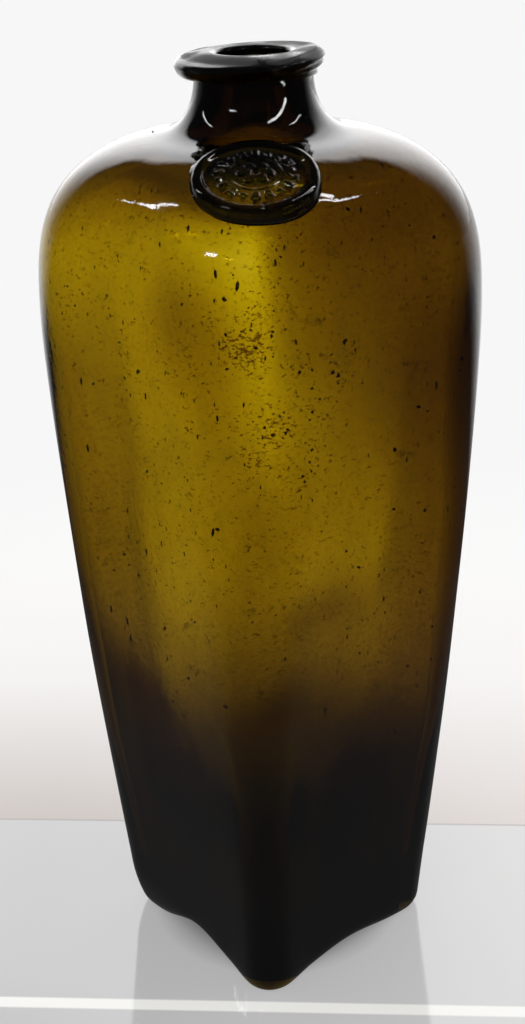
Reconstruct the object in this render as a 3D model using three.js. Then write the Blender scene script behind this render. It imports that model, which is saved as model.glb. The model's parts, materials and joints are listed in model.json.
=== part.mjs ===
// A square case bottle for spirits, blown in dark olive-amber glass.
// It is three pieces of glass that were joined while hot:
// the blown body, a collar laid round the sheared neck end,
// and a stamped pad on one corner of the shoulder.
// Millimetres, +Z up, origin at the middle of the foot, flat sides square to X and Y.

import * as THREE from 'three';

// Outside of the body. Widths are taken across two opposite flat sides.
const FOOT_WIDTH = 62.8;
const SHOULDER_WIDTH = 94.5;
const WALL_HEIGHT = 177;              // from the feet to the widest place
const SHOULDER_RISE = 48;             // from the widest place to the root of the neck
const FOOT_CORNER_RADIUS = 7;
const SHOULDER_CORNER_RADIUS = 26;

// Neck
const NECK_ROOT_DIAMETER = 48;
const NECK_DIAMETER = 29.8;
const NECK_END_DIAMETER = 27;
const NECK_FLARE_HEIGHT = 12.7;
const BORE_DIAMETER = 17.8;
const BORE_FLARE = 13;                // how far the bore opens out under the shoulder, all round

// Thickness of the glass
const FOOT_WALL = 6.5;
const SHOULDER_WALL = 3.6;
const BASE_THICKNESS = 8;

// Underside, which stands on four corner feet
const KICK_UP = 8;                    // hollow under the middle of the base
const BASE_ARCH = 4;                  // rise of each bottom edge between two feet
const ARCH_FADE_HEIGHT = 34;          // the walls above this height don't feel the arch
const HEEL_RADIUS = 3;
const FOOT_PAD_LENGTH = 7;            // flat part of a foot, inwards from the heel
const FLOOR_FALL = 3;                 // the inner floor is higher in the middle by this much
const FLOOR_CORNER_RADIUS = 8;

// Collar laid on the neck end
const LIP_DIAMETER = 37;
const LIP_HEIGHT = 7.3;
const LIP_CAP = 3.4;                  // glass of the collar above the neck end
const LIP_TOP_DIAMETER = 30;          // flat top face, outside edge
const LIP_SKIRT = 0.9;                // thickness of the collar's lower edge
const MOUTH_BEVEL = 0.8;

// Stamped pad on the shoulder
const SEAL_WIDTH = 29;
const SEAL_HEIGHT = 25.8;
const SEAL_THICKNESS = 2.2;           // over the crown of the shoulder
const SEAL_CROWN = 1;                 // fall of the bowed face from its middle to its edge
const SEAL_RECESS = 0.7;              // the stamped field lies this far below the rim
const SEAL_BOSS = 0.5;                // relief in the middle of the field
const SEAL_EDGE_ROUND = 0.9;

// Clearance between pieces of glass
const JOINT_GAP = 0.3;

// Angles, in radians
const SEAL_TURN = 0.07;               // the pad was set a little to one side of the corner

// Curves: a power of 2 in a superellipse is a plain ellipse, and a higher one is squarer
const TAPER_POWER = 1.06;             // 1 is a straight wall
const CORNER_POWER = 2;               // how late the corners of the wall grow round
const SHOULDER_SIDE_POWER = 3;
const SHOULDER_TOP_POWER = 5.5;
const ROUNDING_POWER = 4.5;           // how late the square shoulder turns into the round neck

// Shares of the height or width that they are named for
const WALL_RING_SHARES = [0.1, 0.2, 0.4, 0.6, 0.75, 0.88];
const INNER_RING_SHARES = [0.25, 0.45, 0.65, 0.85];
const FLOOR_RING_SHARES = [0.45, 0.8];
const KICK_RING_SHARES = [0.3, 0.6, 0.85];
const RING_ANGLE_SHARES = [0, 0.27, 0.49, 0.67, 0.8, 0.9, 1];   // of an eighth turn, from flat to corner
const FOOT_START_SHARE = 0.8;         // of an eighth turn, where a flat foot starts
const SEAL_PLACE_SHARE = 0.46;        // of the way from the neck's root to the corner of the shoulder

// Steps along round stretches
const SHOULDER_STEPS = 12;
const FLARE_STEPS = 7;
const HEEL_STEPS = 3;
const LIP_STEPS = 10;
const LIP_SEGMENTS = 48;
const SEAL_SEGMENTS = 40;
const HALVINGS = 40;                  // of an interval, when a crossing is searched

const EIGHTH_TURN = Math.PI / 4;
const QUARTER_TURN = Math.PI / 2;
const SEAL_DIRECTION = -EIGHTH_TURN + SEAL_TURN;   // near the corner between +X and -Y

const SHOULDER_TOP = WALL_HEIGHT + SHOULDER_RISE;
const NECK_WAIST = SHOULDER_TOP + NECK_FLARE_HEIGHT;
const LIP_TOP = NECK_WAIST + LIP_HEIGHT;
const NECK_END = LIP_TOP - LIP_CAP - JOINT_GAP;

const GLASS_COLOUR = 0x3b3108;
const GLASS_ROUGHNESS = 0.08;

const outside = {
  widest: SHOULDER_WIDTH / 2,
  corner: SHOULDER_CORNER_RADIUS,
  rise: SHOULDER_RISE,
  root: NECK_ROOT_DIAMETER / 2,
  neck: NECK_DIAMETER / 2,
};

const inside = {
  widest: SHOULDER_WIDTH / 2 - SHOULDER_WALL,
  corner: SHOULDER_CORNER_RADIUS - SHOULDER_WALL / 2,
  rise: SHOULDER_RISE - SHOULDER_WALL,
  root: BORE_DIAMETER / 2 + BORE_FLARE,
  neck: BORE_DIAMETER / 2,
};

function mix(low, high, share) {
  return low + (high - low) * share;
}

// Searches the place between start and end where the test turns from false to true
function crossing(start, end, test) {
  let before = start;
  let after = end;
  for (let i = 0; i < HALVINGS; i += 1) {
    const middle = (before + after) / 2;
    if (test(middle)) after = middle;
    else before = middle;
  }
  return (before + after) / 2;
}

// Angle from the middle of the nearest flat side, from 0 to an eighth turn
function foldAngle(angle) {
  const turn = ((angle % QUARTER_TURN) + QUARTER_TURN) % QUARTER_TURN;
  return Math.min(turn, QUARTER_TURN - turn);
}

// Distance from the axis to a square with round corners, in the direction of an angle.
// A corner share of 1 makes the square a circle.
function squareReach(angle, half, cornerShare) {
  const fold = foldAngle(angle);
  const radius = half * cornerShare;
  const centre = half - radius;
  if (fold <= Math.atan2(centre, half)) return half / Math.cos(fold);
  const along = centre * (Math.cos(fold) + Math.sin(fold));
  return along + Math.sqrt(Math.max(0, along * along - 2 * centre * centre + radius * radius));
}

function wallHalf(z) {
  const bulge = 1 - (1 - Math.min(1, z / WALL_HEIGHT)) ** TAPER_POWER;
  return mix(FOOT_WIDTH / 2, SHOULDER_WIDTH / 2, bulge);
}

function wallCornerShare(z) {
  const radius = mix(FOOT_CORNER_RADIUS, SHOULDER_CORNER_RADIUS, (z / WALL_HEIGHT) ** CORNER_POWER);
  return Math.min(1, radius / wallHalf(z));
}

function wallThickness(z) {
  return mix(FOOT_WALL, SHOULDER_WALL, z / WALL_HEIGHT);
}

// Height at which the shoulder's curve would close over the axis, above its widest place
function fullRise(shell) {
  const closed = 1 - (shell.root / shell.widest) ** SHOULDER_TOP_POWER;
  return shell.rise / closed ** (1 / SHOULDER_SIDE_POWER);
}

function shoulderHalf(shell, z) {
  const rise = Math.min(1, (z - WALL_HEIGHT) / fullRise(shell));
  return shell.widest * (1 - rise ** SHOULDER_SIDE_POWER) ** (1 / SHOULDER_TOP_POWER);
}

function shoulderCornerShare(shell, z) {
  const square = shell.corner / shell.widest;
  const rise = Math.min(1, (z - WALL_HEIGHT) / shell.rise);
  return mix(square, 1, rise ** ROUNDING_POWER);
}

function flareHalf(shell, z) {
  const height = NECK_WAIST - WALL_HEIGHT - shell.rise;
  const drop = Math.min(1, Math.max(0, (NECK_WAIST - z) / height));
  return shell.root - (shell.root - shell.neck) * Math.sqrt(1 - drop * drop);
}

// Distance from the axis to the outside of the body, at any height up to the neck's waist
function bodyReach(angle, z) {
  if (z <= WALL_HEIGHT) return squareReach(angle, wallHalf(z), wallCornerShare(z));
  if (z >= SHOULDER_TOP) return flareHalf(outside, z);
  return squareReach(angle, shoulderHalf(outside, z), shoulderCornerShare(outside, z));
}

// A station is one level of the loft: half width, share of that in the corners, height,
// and the part of the bottom arch that it follows
function station(half, cornerShare, z, arch = 0) {
  return { half, cornerShare, z, arch };
}

function ringAngles() {
  const toCorner = RING_ANGLE_SHARES.slice(0, -1).map((share) => share * EIGHTH_TURN);
  const fromCorner = RING_ANGLE_SHARES.slice(1).reverse().map((share) => (2 - share) * EIGHTH_TURN);
  const quarter = [...toCorner, ...fromCorner];
  const angles = [];
  for (let side = 0; side < 4; side += 1) {
    for (const angle of quarter) angles.push(side * QUARTER_TURN + angle);
  }
  return angles;
}

// Lift of the bottom edge: none at the feet, most in the middle of a side
function archLift(angle) {
  const towardsFoot = Math.min(1, foldAngle(angle) / (FOOT_START_SHARE * EIGHTH_TURN));
  return BASE_ARCH * (1 + Math.cos(Math.PI * towardsFoot)) / 2;
}

function ringPoints(level, angles) {
  return angles.map((angle) => {
    const distance = squareReach(angle, level.half, level.cornerShare);
    const z = level.z + level.arch * archLift(angle);
    return new THREE.Vector3(distance * Math.cos(angle), distance * Math.sin(angle), z);
  });
}

// Closed surface through rings of equal length, with a single point at each end.
// Rings run anticlockwise seen from above, and the first end lies underneath.
function loft(firstEnd, rings, lastEnd) {
  const count = rings[0].length;
  const points = [firstEnd, ...rings.flat(), lastEnd];
  const last = points.length - 1;
  const index = [];
  for (let i = 0; i < count; i += 1) {
    const next = (i + 1) % count;
    index.push(0, 1 + next, 1 + i);
    index.push(last - count + i, last - count + next, last);
    for (let ring = 0; ring < rings.length - 1; ring += 1) {
      const low = 1 + ring * count;
      const high = low + count;
      index.push(low + i, low + next, high + next);
      index.push(low + i, high + next, high + i);
    }
  }
  const geometry = new THREE.BufferGeometry().setFromPoints(points);
  geometry.setIndex(index);
  geometry.computeVertexNormals();
  return geometry;
}

function steps(count) {
  return Array.from({ length: count }, (_, i) => (i + 1) / count);
}

function archFade(z) {
  return Math.max(0, 1 - z / ARCH_FADE_HEIGHT) ** 2;
}

// Underside: a shallow dome that ends in the flat feet, then the round heel
function baseStations() {
  const padOuter = FOOT_WIDTH / 2 - HEEL_RADIUS;
  const padInner = padOuter - FOOT_PAD_LENGTH;
  const corner = FOOT_CORNER_RADIUS / (FOOT_WIDTH / 2);
  const dome = KICK_RING_SHARES.map((share) => {
    const square = share * share;
    return station(padInner * share, mix(1, corner, square), KICK_UP * (1 - square), square);
  });
  const pads = [station(padInner, corner, 0, 1), station(padOuter, corner, 0, 1)];
  const heel = steps(HEEL_STEPS).map((share) => {
    const turn = share * QUARTER_TURN;
    const z = HEEL_RADIUS * (1 - Math.cos(turn));
    const inset = HEEL_RADIUS * (1 - Math.sin(turn));
    return station(wallHalf(z) - inset, wallCornerShare(z), z, archFade(z));
  });
  return [...dome, ...pads, ...heel];
}

function wallStations() {
  return WALL_RING_SHARES.map((share) => {
    const z = share * WALL_HEIGHT;
    return station(wallHalf(z), wallCornerShare(z), z, archFade(z));
  });
}

// Shoulder and flare of one surface, from the widest place up to the waist of the neck
function shoulderStations(shell) {
  const endTurn = Math.acos((shell.root / shell.widest) ** (SHOULDER_TOP_POWER / 2));
  const shoulder = [0, ...steps(SHOULDER_STEPS)].map((share) => {
    const turn = share * endTurn;
    const z = WALL_HEIGHT + fullRise(shell) * Math.sin(turn) ** (2 / SHOULDER_SIDE_POWER);
    const half = shell.widest * Math.cos(turn) ** (2 / SHOULDER_TOP_POWER);
    return station(half, shoulderCornerShare(shell, z), z);
  });
  const flareHeight = NECK_WAIST - WALL_HEIGHT - shell.rise;
  const flare = steps(FLARE_STEPS).map((share) => {
    const z = NECK_WAIST - flareHeight * Math.cos(share * QUARTER_TURN);
    return station(flareHalf(shell, z), 1, z);
  });
  return [...shoulder, ...flare];
}

// Inner wall and floor, from the top down
function innerStations() {
  const corner = (z) => wallCornerShare(z) * wallHalf(z) / (wallHalf(z) - wallThickness(z));
  const wall = [...INNER_RING_SHARES].reverse().map((share) => {
    const z = share * WALL_HEIGHT;
    return station(wallHalf(z) - wallThickness(z), Math.min(1, corner(z)), z);
  });
  const floorEdge = KICK_UP + BASE_THICKNESS - FLOOR_FALL;
  const bend = [0, ...steps(HEEL_STEPS)].map((share) => {
    const turn = share * QUARTER_TURN;
    const z = floorEdge + FLOOR_CORNER_RADIUS * (1 - Math.sin(turn));
    const inset = FLOOR_CORNER_RADIUS * (1 - Math.cos(turn));
    return station(wallHalf(z) - wallThickness(z) - inset, Math.min(1, corner(z)), z);
  });
  const edge = bend[bend.length - 1];
  const floor = [...FLOOR_RING_SHARES].reverse().map((share) => {
    const z = floorEdge + FLOOR_FALL * (1 - share * share);
    return station(edge.half * share, mix(1, edge.cornerShare, share * share), z);
  });
  return [...wall, ...bend, ...floor];
}

function makeGlassBody() {
  const neckEnd = [
    station(NECK_END_DIAMETER / 2, 1, NECK_END),
    station(inside.neck, 1, NECK_END),
  ];
  const levels = [
    ...baseStations(),
    ...wallStations(),
    ...shoulderStations(outside),
    ...neckEnd,
    ...shoulderStations(inside).reverse(),
    ...innerStations(),
  ];
  const angles = ringAngles();
  const rings = levels.map((level) => ringPoints(level, angles));
  const underside = new THREE.Vector3(0, 0, KICK_UP);
  const floor = new THREE.Vector3(0, 0, KICK_UP + BASE_THICKNESS);
  return loft(underside, rings, floor);
}

// The collar caps the neck end and wraps the top of the neck. Its outline closes on itself.
function makeAppliedLip() {
  const bore = BORE_DIAMETER / 2;
  const bottom = NECK_WAIST + JOINT_GAP;
  const skirtInner = NECK_DIAMETER / 2 + JOINT_GAP;
  const endInner = NECK_END_DIAMETER / 2 + JOINT_GAP;
  const seat = NECK_END + JOINT_GAP;
  const outline = [
    new THREE.Vector2(bore, seat),
    new THREE.Vector2(endInner, seat),
    new THREE.Vector2(skirtInner, bottom),
    new THREE.Vector2(skirtInner + LIP_SKIRT, bottom),
  ];
  const lowerSpan = LIP_DIAMETER / 2 - skirtInner - LIP_SKIRT;
  const upperSpan = (LIP_DIAMETER - LIP_TOP_DIAMETER) / 2;
  const roundHalf = (LIP_TOP - bottom) / 2;
  for (const share of steps(LIP_STEPS)) {
    const turn = share * Math.PI;
    const span = turn < QUARTER_TURN ? lowerSpan : upperSpan;
    const x = LIP_DIAMETER / 2 - span * (1 - Math.sin(turn));
    outline.push(new THREE.Vector2(x, bottom + roundHalf * (1 - Math.cos(turn))));
  }
  outline.push(new THREE.Vector2(bore + MOUTH_BEVEL, LIP_TOP));
  outline.push(new THREE.Vector2(bore, LIP_TOP - MOUTH_BEVEL));
  outline.push(outline[0].clone());
  const geometry = new THREE.LatheGeometry(outline, LIP_SEGMENTS);
  return geometry.rotateX(QUARTER_TURN);
}

// Place of the pad: it lies across the line that runs down the shoulder to the corner,
// tilted so that its upper and lower edges are as far from the glass
function sealFrame() {
  const outwards = new THREE.Vector3(Math.cos(SEAL_DIRECTION), Math.sin(SEAL_DIRECTION), 0);
  const up = new THREE.Vector3(0, 0, 1);
  const onLine = (z) => {
    const reach = bodyReach(SEAL_DIRECTION, z);
    return outwards.clone().multiplyScalar(reach).addScaledVector(up, z);
  };
  const placeReach = mix(outside.root, bodyReach(SEAL_DIRECTION, WALL_HEIGHT), SEAL_PLACE_SHARE);
  const placeZ = crossing(WALL_HEIGHT, NECK_WAIST, (z) => bodyReach(SEAL_DIRECTION, z) < placeReach);
  const place = onLine(placeZ);
  const beyond = (z) => onLine(z).distanceTo(place) > SEAL_HEIGHT / 2;
  const upper = onLine(crossing(placeZ, NECK_WAIST, beyond));
  const lower = onLine(crossing(placeZ, 0, beyond));
  const upSlope = upper.clone().sub(lower).normalize();
  const across = new THREE.Vector3().crossVectors(up, outwards);
  const normal = new THREE.Vector3().crossVectors(across, upSlope);
  const middle = upper.clone().add(lower).multiplyScalar(0.5);
  return { middle, across, upSlope, normal };
}

function insideBody(point) {
  const angle = Math.atan2(point.y, point.x);
  return Math.hypot(point.x, point.y) < bodyReach(angle, point.z);
}

// The point where a line into the shoulder meets the glass, held off by the joint gap
function backPoint(facePoint, normal) {
  const along = (depth) => facePoint.clone().addScaledVector(normal, -depth);
  const depth = crossing(0, SEAL_HEIGHT, (value) => insideBody(along(value)));
  return along(depth - JOINT_GAP);
}

function makeShoulderSeal() {
  const frame = sealFrame();
  const raised = frame.middle.clone().addScaledVector(frame.normal, SEAL_HEIGHT / 2);
  const crown = backPoint(raised, frame.normal);
  const faceCentre = crown.addScaledVector(frame.normal, JOINT_GAP + SEAL_THICKNESS);
  const facePoint = (share, turn, rise) => faceCentre.clone()
    .addScaledVector(frame.across, share * Math.cos(turn) * SEAL_WIDTH / 2)
    .addScaledVector(frame.upSlope, share * Math.sin(turn) * SEAL_HEIGHT / 2)
    .addScaledVector(frame.normal, rise - SEAL_CROWN * share * share);
  // Shares of the half width, from the middle out, and the height there over the rim's crown
  const faceShares = [
    { share: 0.2, rise: SEAL_BOSS - SEAL_RECESS },
    { share: 0.3, rise: -SEAL_RECESS },
    { share: 0.55, rise: -SEAL_RECESS },
    { share: 0.78, rise: -SEAL_RECESS },
    { share: 0.84, rise: -SEAL_RECESS / 4 },
    { share: 0.9, rise: 0 },
    { share: 0.96, rise: -SEAL_EDGE_ROUND / 4 },
    { share: 1, rise: -SEAL_EDGE_ROUND },
  ];
  const turns = Array.from({ length: SEAL_SEGMENTS }, (_, i) => (i / SEAL_SEGMENTS) * 2 * Math.PI);
  const ring = (share, rise) => turns.map((turn) => facePoint(share, turn, rise));
  const face = faceShares.map(({ share, rise }) => ring(share, rise)).reverse();
  const back = faceShares.map(({ share }) => ring(share, 0).map((point) => backPoint(point, frame.normal)));
  const backCentre = backPoint(faceCentre, frame.normal);
  const faceMiddle = facePoint(0, 0, SEAL_BOSS - SEAL_RECESS);
  return loft(backCentre, [...back, ...face], faceMiddle);
}

function glass() {
  return new THREE.MeshStandardMaterial({
    color: GLASS_COLOUR,
    roughness: GLASS_ROUGHNESS,
    metalness: 0,
  });
}

function namedMesh(name, geometry) {
  const mesh = new THREE.Mesh(geometry, glass());
  mesh.name = name;
  return mesh;
}

const bottle = new THREE.Group();
bottle.add(namedMesh('glass_body', makeGlassBody()));
bottle.add(namedMesh('applied_lip', makeAppliedLip()));
bottle.add(namedMesh('shoulder_seal', makeShoulderSeal()));

export default bottle;
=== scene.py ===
# %% [markdown]
# # A square case bottle of dark olive glass
#
# The real bottle was blown into a tapered square mould, so its walls carry soft waves and bubbles.
# A collar of hot glass was laid round the neck end, and a blob was stamped on one shoulder corner.
# Glass is judged by what happens inside it, so each piece here is one closed surface with an
# absorbing volume, and the light behind the bottle does the rest.
#
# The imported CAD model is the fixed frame.

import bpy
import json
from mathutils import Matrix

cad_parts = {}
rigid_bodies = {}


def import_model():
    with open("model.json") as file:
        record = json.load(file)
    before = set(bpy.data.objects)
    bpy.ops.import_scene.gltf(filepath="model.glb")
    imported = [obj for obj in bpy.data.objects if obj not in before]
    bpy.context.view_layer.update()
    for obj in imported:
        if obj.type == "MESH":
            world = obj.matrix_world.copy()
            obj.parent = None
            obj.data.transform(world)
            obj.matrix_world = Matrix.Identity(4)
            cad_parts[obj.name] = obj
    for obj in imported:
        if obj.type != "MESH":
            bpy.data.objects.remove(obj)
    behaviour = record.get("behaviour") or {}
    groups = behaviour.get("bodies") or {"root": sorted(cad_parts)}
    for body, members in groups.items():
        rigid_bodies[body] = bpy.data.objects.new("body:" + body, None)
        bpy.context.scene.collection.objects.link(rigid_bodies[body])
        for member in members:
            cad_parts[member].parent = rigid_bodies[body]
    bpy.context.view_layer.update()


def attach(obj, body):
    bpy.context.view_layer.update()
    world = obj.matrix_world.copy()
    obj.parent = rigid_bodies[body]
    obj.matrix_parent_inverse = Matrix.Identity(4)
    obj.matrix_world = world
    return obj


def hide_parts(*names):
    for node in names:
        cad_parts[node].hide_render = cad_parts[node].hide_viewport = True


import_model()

# %% Tools and units
import json
import math

import bpy
import numpy as np
from mathutils import Matrix, Vector, noise
from mathutils.bvhtree import BVHTree

MM = 0.001
FULL_TURN = 2 * math.pi
QUARTER_TURN = math.pi / 2
EIGHTH_TURN = math.pi / 4
scene = bpy.context.scene
scene.view_settings.view_transform = "Standard"
print("view transform:", scene.view_settings.view_transform)


def add_object(name, data):
    made = bpy.data.objects.new(name, data)
    scene.collection.objects.link(made)
    return made


# %% [markdown]
# ## The camera
#
# The photograph looks down on one corner of the bottle, from a little above it.
# A camera can be aimed with a constraint, but fixed numbers stay the same in every view.
# So the camera's place is a point beside the bottle, and its turn is three named angles.

# %% Camera
CAMERA_PLACE = Vector((312.1, -268.8, 297.56)) * MM
CAMERA_HEADING = math.radians(139.40)  # of the level view line, from +X towards +Y
CAMERA_PITCH = math.radians(22.852)  # down
CAMERA_ROLL = math.radians(1.728)  # clockwise, seen from behind the camera
PHOTO_WIDTH = 525
PHOTO_HEIGHT = 1024
FOCAL_PIXELS = 1672
SENSOR = 36  # height in millimetres
NEAREST_SEEN = 0.01

level_view = Vector((math.cos(CAMERA_HEADING), math.sin(CAMERA_HEADING), 0))
view_line = level_view * math.cos(CAMERA_PITCH) - Vector((0, 0, math.sin(CAMERA_PITCH)))
level_right = level_view.cross(Vector((0, 0, 1)))
upright = level_right.cross(view_line)
camera_right = level_right * math.cos(CAMERA_ROLL) - upright * math.sin(CAMERA_ROLL)
camera_up = upright * math.cos(CAMERA_ROLL) + level_right * math.sin(CAMERA_ROLL)

camera_data = bpy.data.cameras.new("photo_camera")
camera_data.sensor_fit = "VERTICAL"
camera_data.sensor_height = SENSOR
camera_data.lens = FOCAL_PIXELS / PHOTO_HEIGHT * SENSOR
camera_data.clip_start = NEAREST_SEEN
camera = add_object("photo_camera", camera_data)
turned = Matrix((camera_right, camera_up, -view_line)).transposed().to_4x4()
camera.matrix_world = Matrix.Translation(CAMERA_PLACE) @ turned
scene.camera = camera
print("camera lens:", round(camera_data.lens, 2), "mm")


def sight(pixel):
    """The direction in which the camera sees a pixel of the photograph."""
    across = (pixel[0] - PHOTO_WIDTH / 2) / FOCAL_PIXELS
    down = (pixel[1] - PHOTO_HEIGHT / 2) / FOCAL_PIXELS
    return (view_line + camera_right * across - camera_up * down).normalized()


# %% [markdown]
# ## Sizes of the glass
#
# The body is a square with round corners at every level, and the corners open into a circle
# at the neck. The sizes below are close to those of the frame, in millimetres, and the walls
# get what a simple solid leaves out: waves, an uneven thickness and a pointed front foot.

# %% Sizes of the body
FOOT_WIDTH = 62.8
SHOULDER_WIDTH = 94.5
WALL_HEIGHT = 177
SHOULDER_RISE = 48
FOOT_CORNER_RADIUS = 8.8
SHOULDER_CORNER_RADIUS = 25.2
CORNER_POWER = 1.75
NECK_ROOT_DIAMETER = 48
NECK_DIAMETER = 29.0
NECK_END_DIAMETER = 27
NECK_FLARE_HEIGHT = 12.7
BORE_DIAMETER = 17.8
NECK_BORE = 9.5
THIN_WALL = 2.0  # on the two sides where the glass ran thin
SHOULDER_GLASS = 4.9  # on top of the shoulder, where the glass stayed thicker
LEAST_CORNER = 2  # radius of the hollow's corners
TAPER_POWER = 1.06
SIDE_POWER = 3
TOP_POWER = 5.5
ROUNDING_POWER = 4.5

SHOULDER_TOP = WALL_HEIGHT + SHOULDER_RISE
NECK_WAIST = SHOULDER_TOP + NECK_FLARE_HEIGHT
LIP_TOP = 245
LIP_CAP = 3.4
JOINT_GAP = 0.12  # the joints are closed further than in the frame, so no slit shows
NECK_END = LIP_TOP - LIP_CAP - JOINT_GAP
SHOULDER_GLASS_HEIGHTS = (WALL_HEIGHT + 18, SHOULDER_TOP + 2)  # where it gets thicker
NECK_GLASS_HALVES = (26, 16)  # half widths between which the neck's thickness begins
print("shoulder top", SHOULDER_TOP, "waist", NECK_WAIST, "neck end", NECK_END)


# %% Reach of a round-cornered square
def mix(low, high, share):
    return low + (high - low) * share


def rise(low, high, value):
    """0 below the low value, 1 above the high one and an even bend between them."""
    share = np.clip((value - low) / (high - low), 0, 1)
    return share * share * (3 - 2 * share)


def fall(low, high, value):
    """1 below the low value, 0 above the high one and an even bend between them."""
    return 1 - rise(low, high, value)


def axis_reach(points):
    return np.hypot(points[:, 0], points[:, 1])


def axis_angle(points):
    return np.arctan2(points[:, 1], points[:, 0])


def fold_angle(angle):
    """Angle from the middle of the nearest flat side."""
    turn = np.mod(angle, QUARTER_TURN)
    return np.minimum(turn, QUARTER_TURN - turn)


def square_reach(angle, half, corner_share):
    """Distance from the axis to a square with round corners."""
    fold = fold_angle(angle)
    radius = half * corner_share
    centre = half - radius
    along = centre * (np.cos(fold) + np.sin(fold))
    rounded = along + np.sqrt(np.maximum(0, along ** 2 - 2 * centre ** 2 + radius ** 2))
    return np.where(fold <= np.arctan2(centre, half), half / np.cos(fold), rounded)


foot_share = FOOT_CORNER_RADIUS / (FOOT_WIDTH / 2)
foot_reach = float(square_reach(EIGHTH_TURN, FOOT_WIDTH / 2, foot_share))
print("foot from corner to corner:", round(2 * foot_reach, 1), "mm")


# %% Upright outlines of the two surfaces
HEEL_TOP = 4
FLOOR_EDGE = 13
FLOOR_CORNER = 9
FINE_LEVELS = 300  # levels of the first, fine outline: walls and shoulder
FLARE_LEVELS = 80
FINE_STEP = 0.1  # millimetres, while kinks are softened
BELL_REACH = 3  # how many softnesses the softening reaches
TOP_STEPS_FROM = 0.8 * WALL_HEIGHT


def wall_half(z):
    bulge = 1 - (1 - np.clip(z / WALL_HEIGHT, 0, 1)) ** TAPER_POWER
    return mix(FOOT_WIDTH / 2, SHOULDER_WIDTH / 2, bulge)


def wall_corner(z):
    share = np.clip(z / WALL_HEIGHT, 0, 1) ** CORNER_POWER
    return mix(FOOT_CORNER_RADIUS, SHOULDER_CORNER_RADIUS, share)


def upright_outline():
    """Rows of height, half width and corner radius, from the heel up to the waist of the neck."""
    z = np.linspace(HEEL_TOP, WALL_HEIGHT, FINE_LEVELS)
    rows = [np.stack([z, wall_half(z), wall_corner(z)], axis=1)]
    widest = SHOULDER_WIDTH / 2
    root = NECK_ROOT_DIAMETER / 2
    end_turn = math.acos((root / widest) ** (TOP_POWER / 2))
    turn = np.linspace(0, end_turn, FINE_LEVELS)[1:]
    closed_rise = SHOULDER_RISE / (1 - (root / widest) ** TOP_POWER) ** (1 / SIDE_POWER)
    z = WALL_HEIGHT + closed_rise * np.sin(turn) ** (2 / SIDE_POWER)
    half = widest * np.cos(turn) ** (2 / TOP_POWER)
    square = SHOULDER_CORNER_RADIUS / widest
    share = mix(square, 1, np.clip((z - WALL_HEIGHT) / SHOULDER_RISE, 0, 1) ** ROUNDING_POWER)
    rows.append(np.stack([z, half, half * share], axis=1))
    turn = np.linspace(0, QUARTER_TURN, FLARE_LEVELS)[1:]
    z = NECK_WAIST - NECK_FLARE_HEIGHT * np.cos(turn)
    half = root - (root - NECK_DIAMETER / 2) * np.sin(turn)
    rows.append(np.stack([z, half, half], axis=1))
    return np.concatenate(rows)


def inset_outline(rows):
    """The outline of the hollow: the outside, set in by the thickness of the glass."""
    z, half, corner = rows.T
    slope = np.hypot(np.gradient(z), np.gradient(half))
    outward = np.gradient(z) / slope
    upward = -np.gradient(half) / slope
    shoulder = rise(*SHOULDER_GLASS_HEIGHTS, z)
    neck_wall = (NECK_DIAMETER - NECK_BORE) / 2
    wall = mix(THIN_WALL, SHOULDER_GLASS, shoulder)
    wall = mix(wall, neck_wall, rise(*NECK_GLASS_HALVES, half) * (z > WALL_HEIGHT))
    inner = [z - upward * wall, half - outward * wall]
    corner = np.maximum(LEAST_CORNER, corner - outward * wall)
    return np.stack([inner[0], inner[1], corner], axis=1)


def evened(rows, wall_step, top_step, softness):
    """The outline with its kinks softened, in even steps that are shorter on the shoulder."""
    length = np.concatenate([[0], np.cumsum(np.hypot(np.diff(rows[:, 0]), np.diff(rows[:, 1])))])
    fine = np.arange(0, length[-1], FINE_STEP)
    columns = [np.interp(fine, length, rows[:, k]) for k in range(3)]
    reach = int(BELL_REACH * softness / FINE_STEP)
    bell = np.exp(-0.5 * (np.arange(-reach, reach + 1) * FINE_STEP / softness) ** 2)
    bell = bell / bell.sum()
    smooth = []
    for column in columns:
        padded = np.pad(column, reach, mode="reflect", reflect_type="odd")
        smooth.append(np.convolve(padded, bell, mode="valid"))
    step = np.where(smooth[0] < TOP_STEPS_FROM, wall_step, top_step)
    count = np.concatenate([[0], np.cumsum(FINE_STEP / step)[:-1]])
    levels = np.linspace(0, count[-1], int(round(count[-1])) + 1)
    return np.stack([np.interp(levels, count, column) for column in smooth], axis=1)


outline = upright_outline()
outer_rows = evened(outline, wall_step=2.4, top_step=0.9, softness=2.5)
fine_rows = evened(outline, wall_step=0.5, top_step=0.3, softness=2.5)
inner_rows = evened(inset_outline(fine_rows), wall_step=3.0, top_step=1.2, softness=1.0)
inner_rows = inner_rows[inner_rows[:, 0] > FLOOR_EDGE + FLOOR_CORNER]
print("levels:", len(outer_rows), "outside,", len(inner_rows), "inside")


def wall_at(z):
    """Half width and corner radius of the smooth outside at a height."""
    return [np.interp(z, outer_rows[:, 0], outer_rows[:, k]) for k in (1, 2)]


# %% [markdown]
# ## Building a closed surface from rings
#
# Blender could spin a profile, but a square that turns into a circle is not a turned shape.
# So the mesh is lofted: every level is a ring with the same number of points, and
# neighbouring rings are joined by faces. The points crowd together at the four corners,
# because that is where the surface bends.

# %% Ring angles and the loft
RING_POINTS = 232
CORNER_CROWDING = 0.55
even_turn = np.linspace(0, FULL_TURN, RING_POINTS, endpoint=False)
ring_angles = even_turn + CORNER_CROWDING / 4 * np.sin(4 * even_turn)
SEED_SHIFT = (17.3, 5.1, 9.7)  # moves the noise, so that each seed gives other waves


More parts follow.
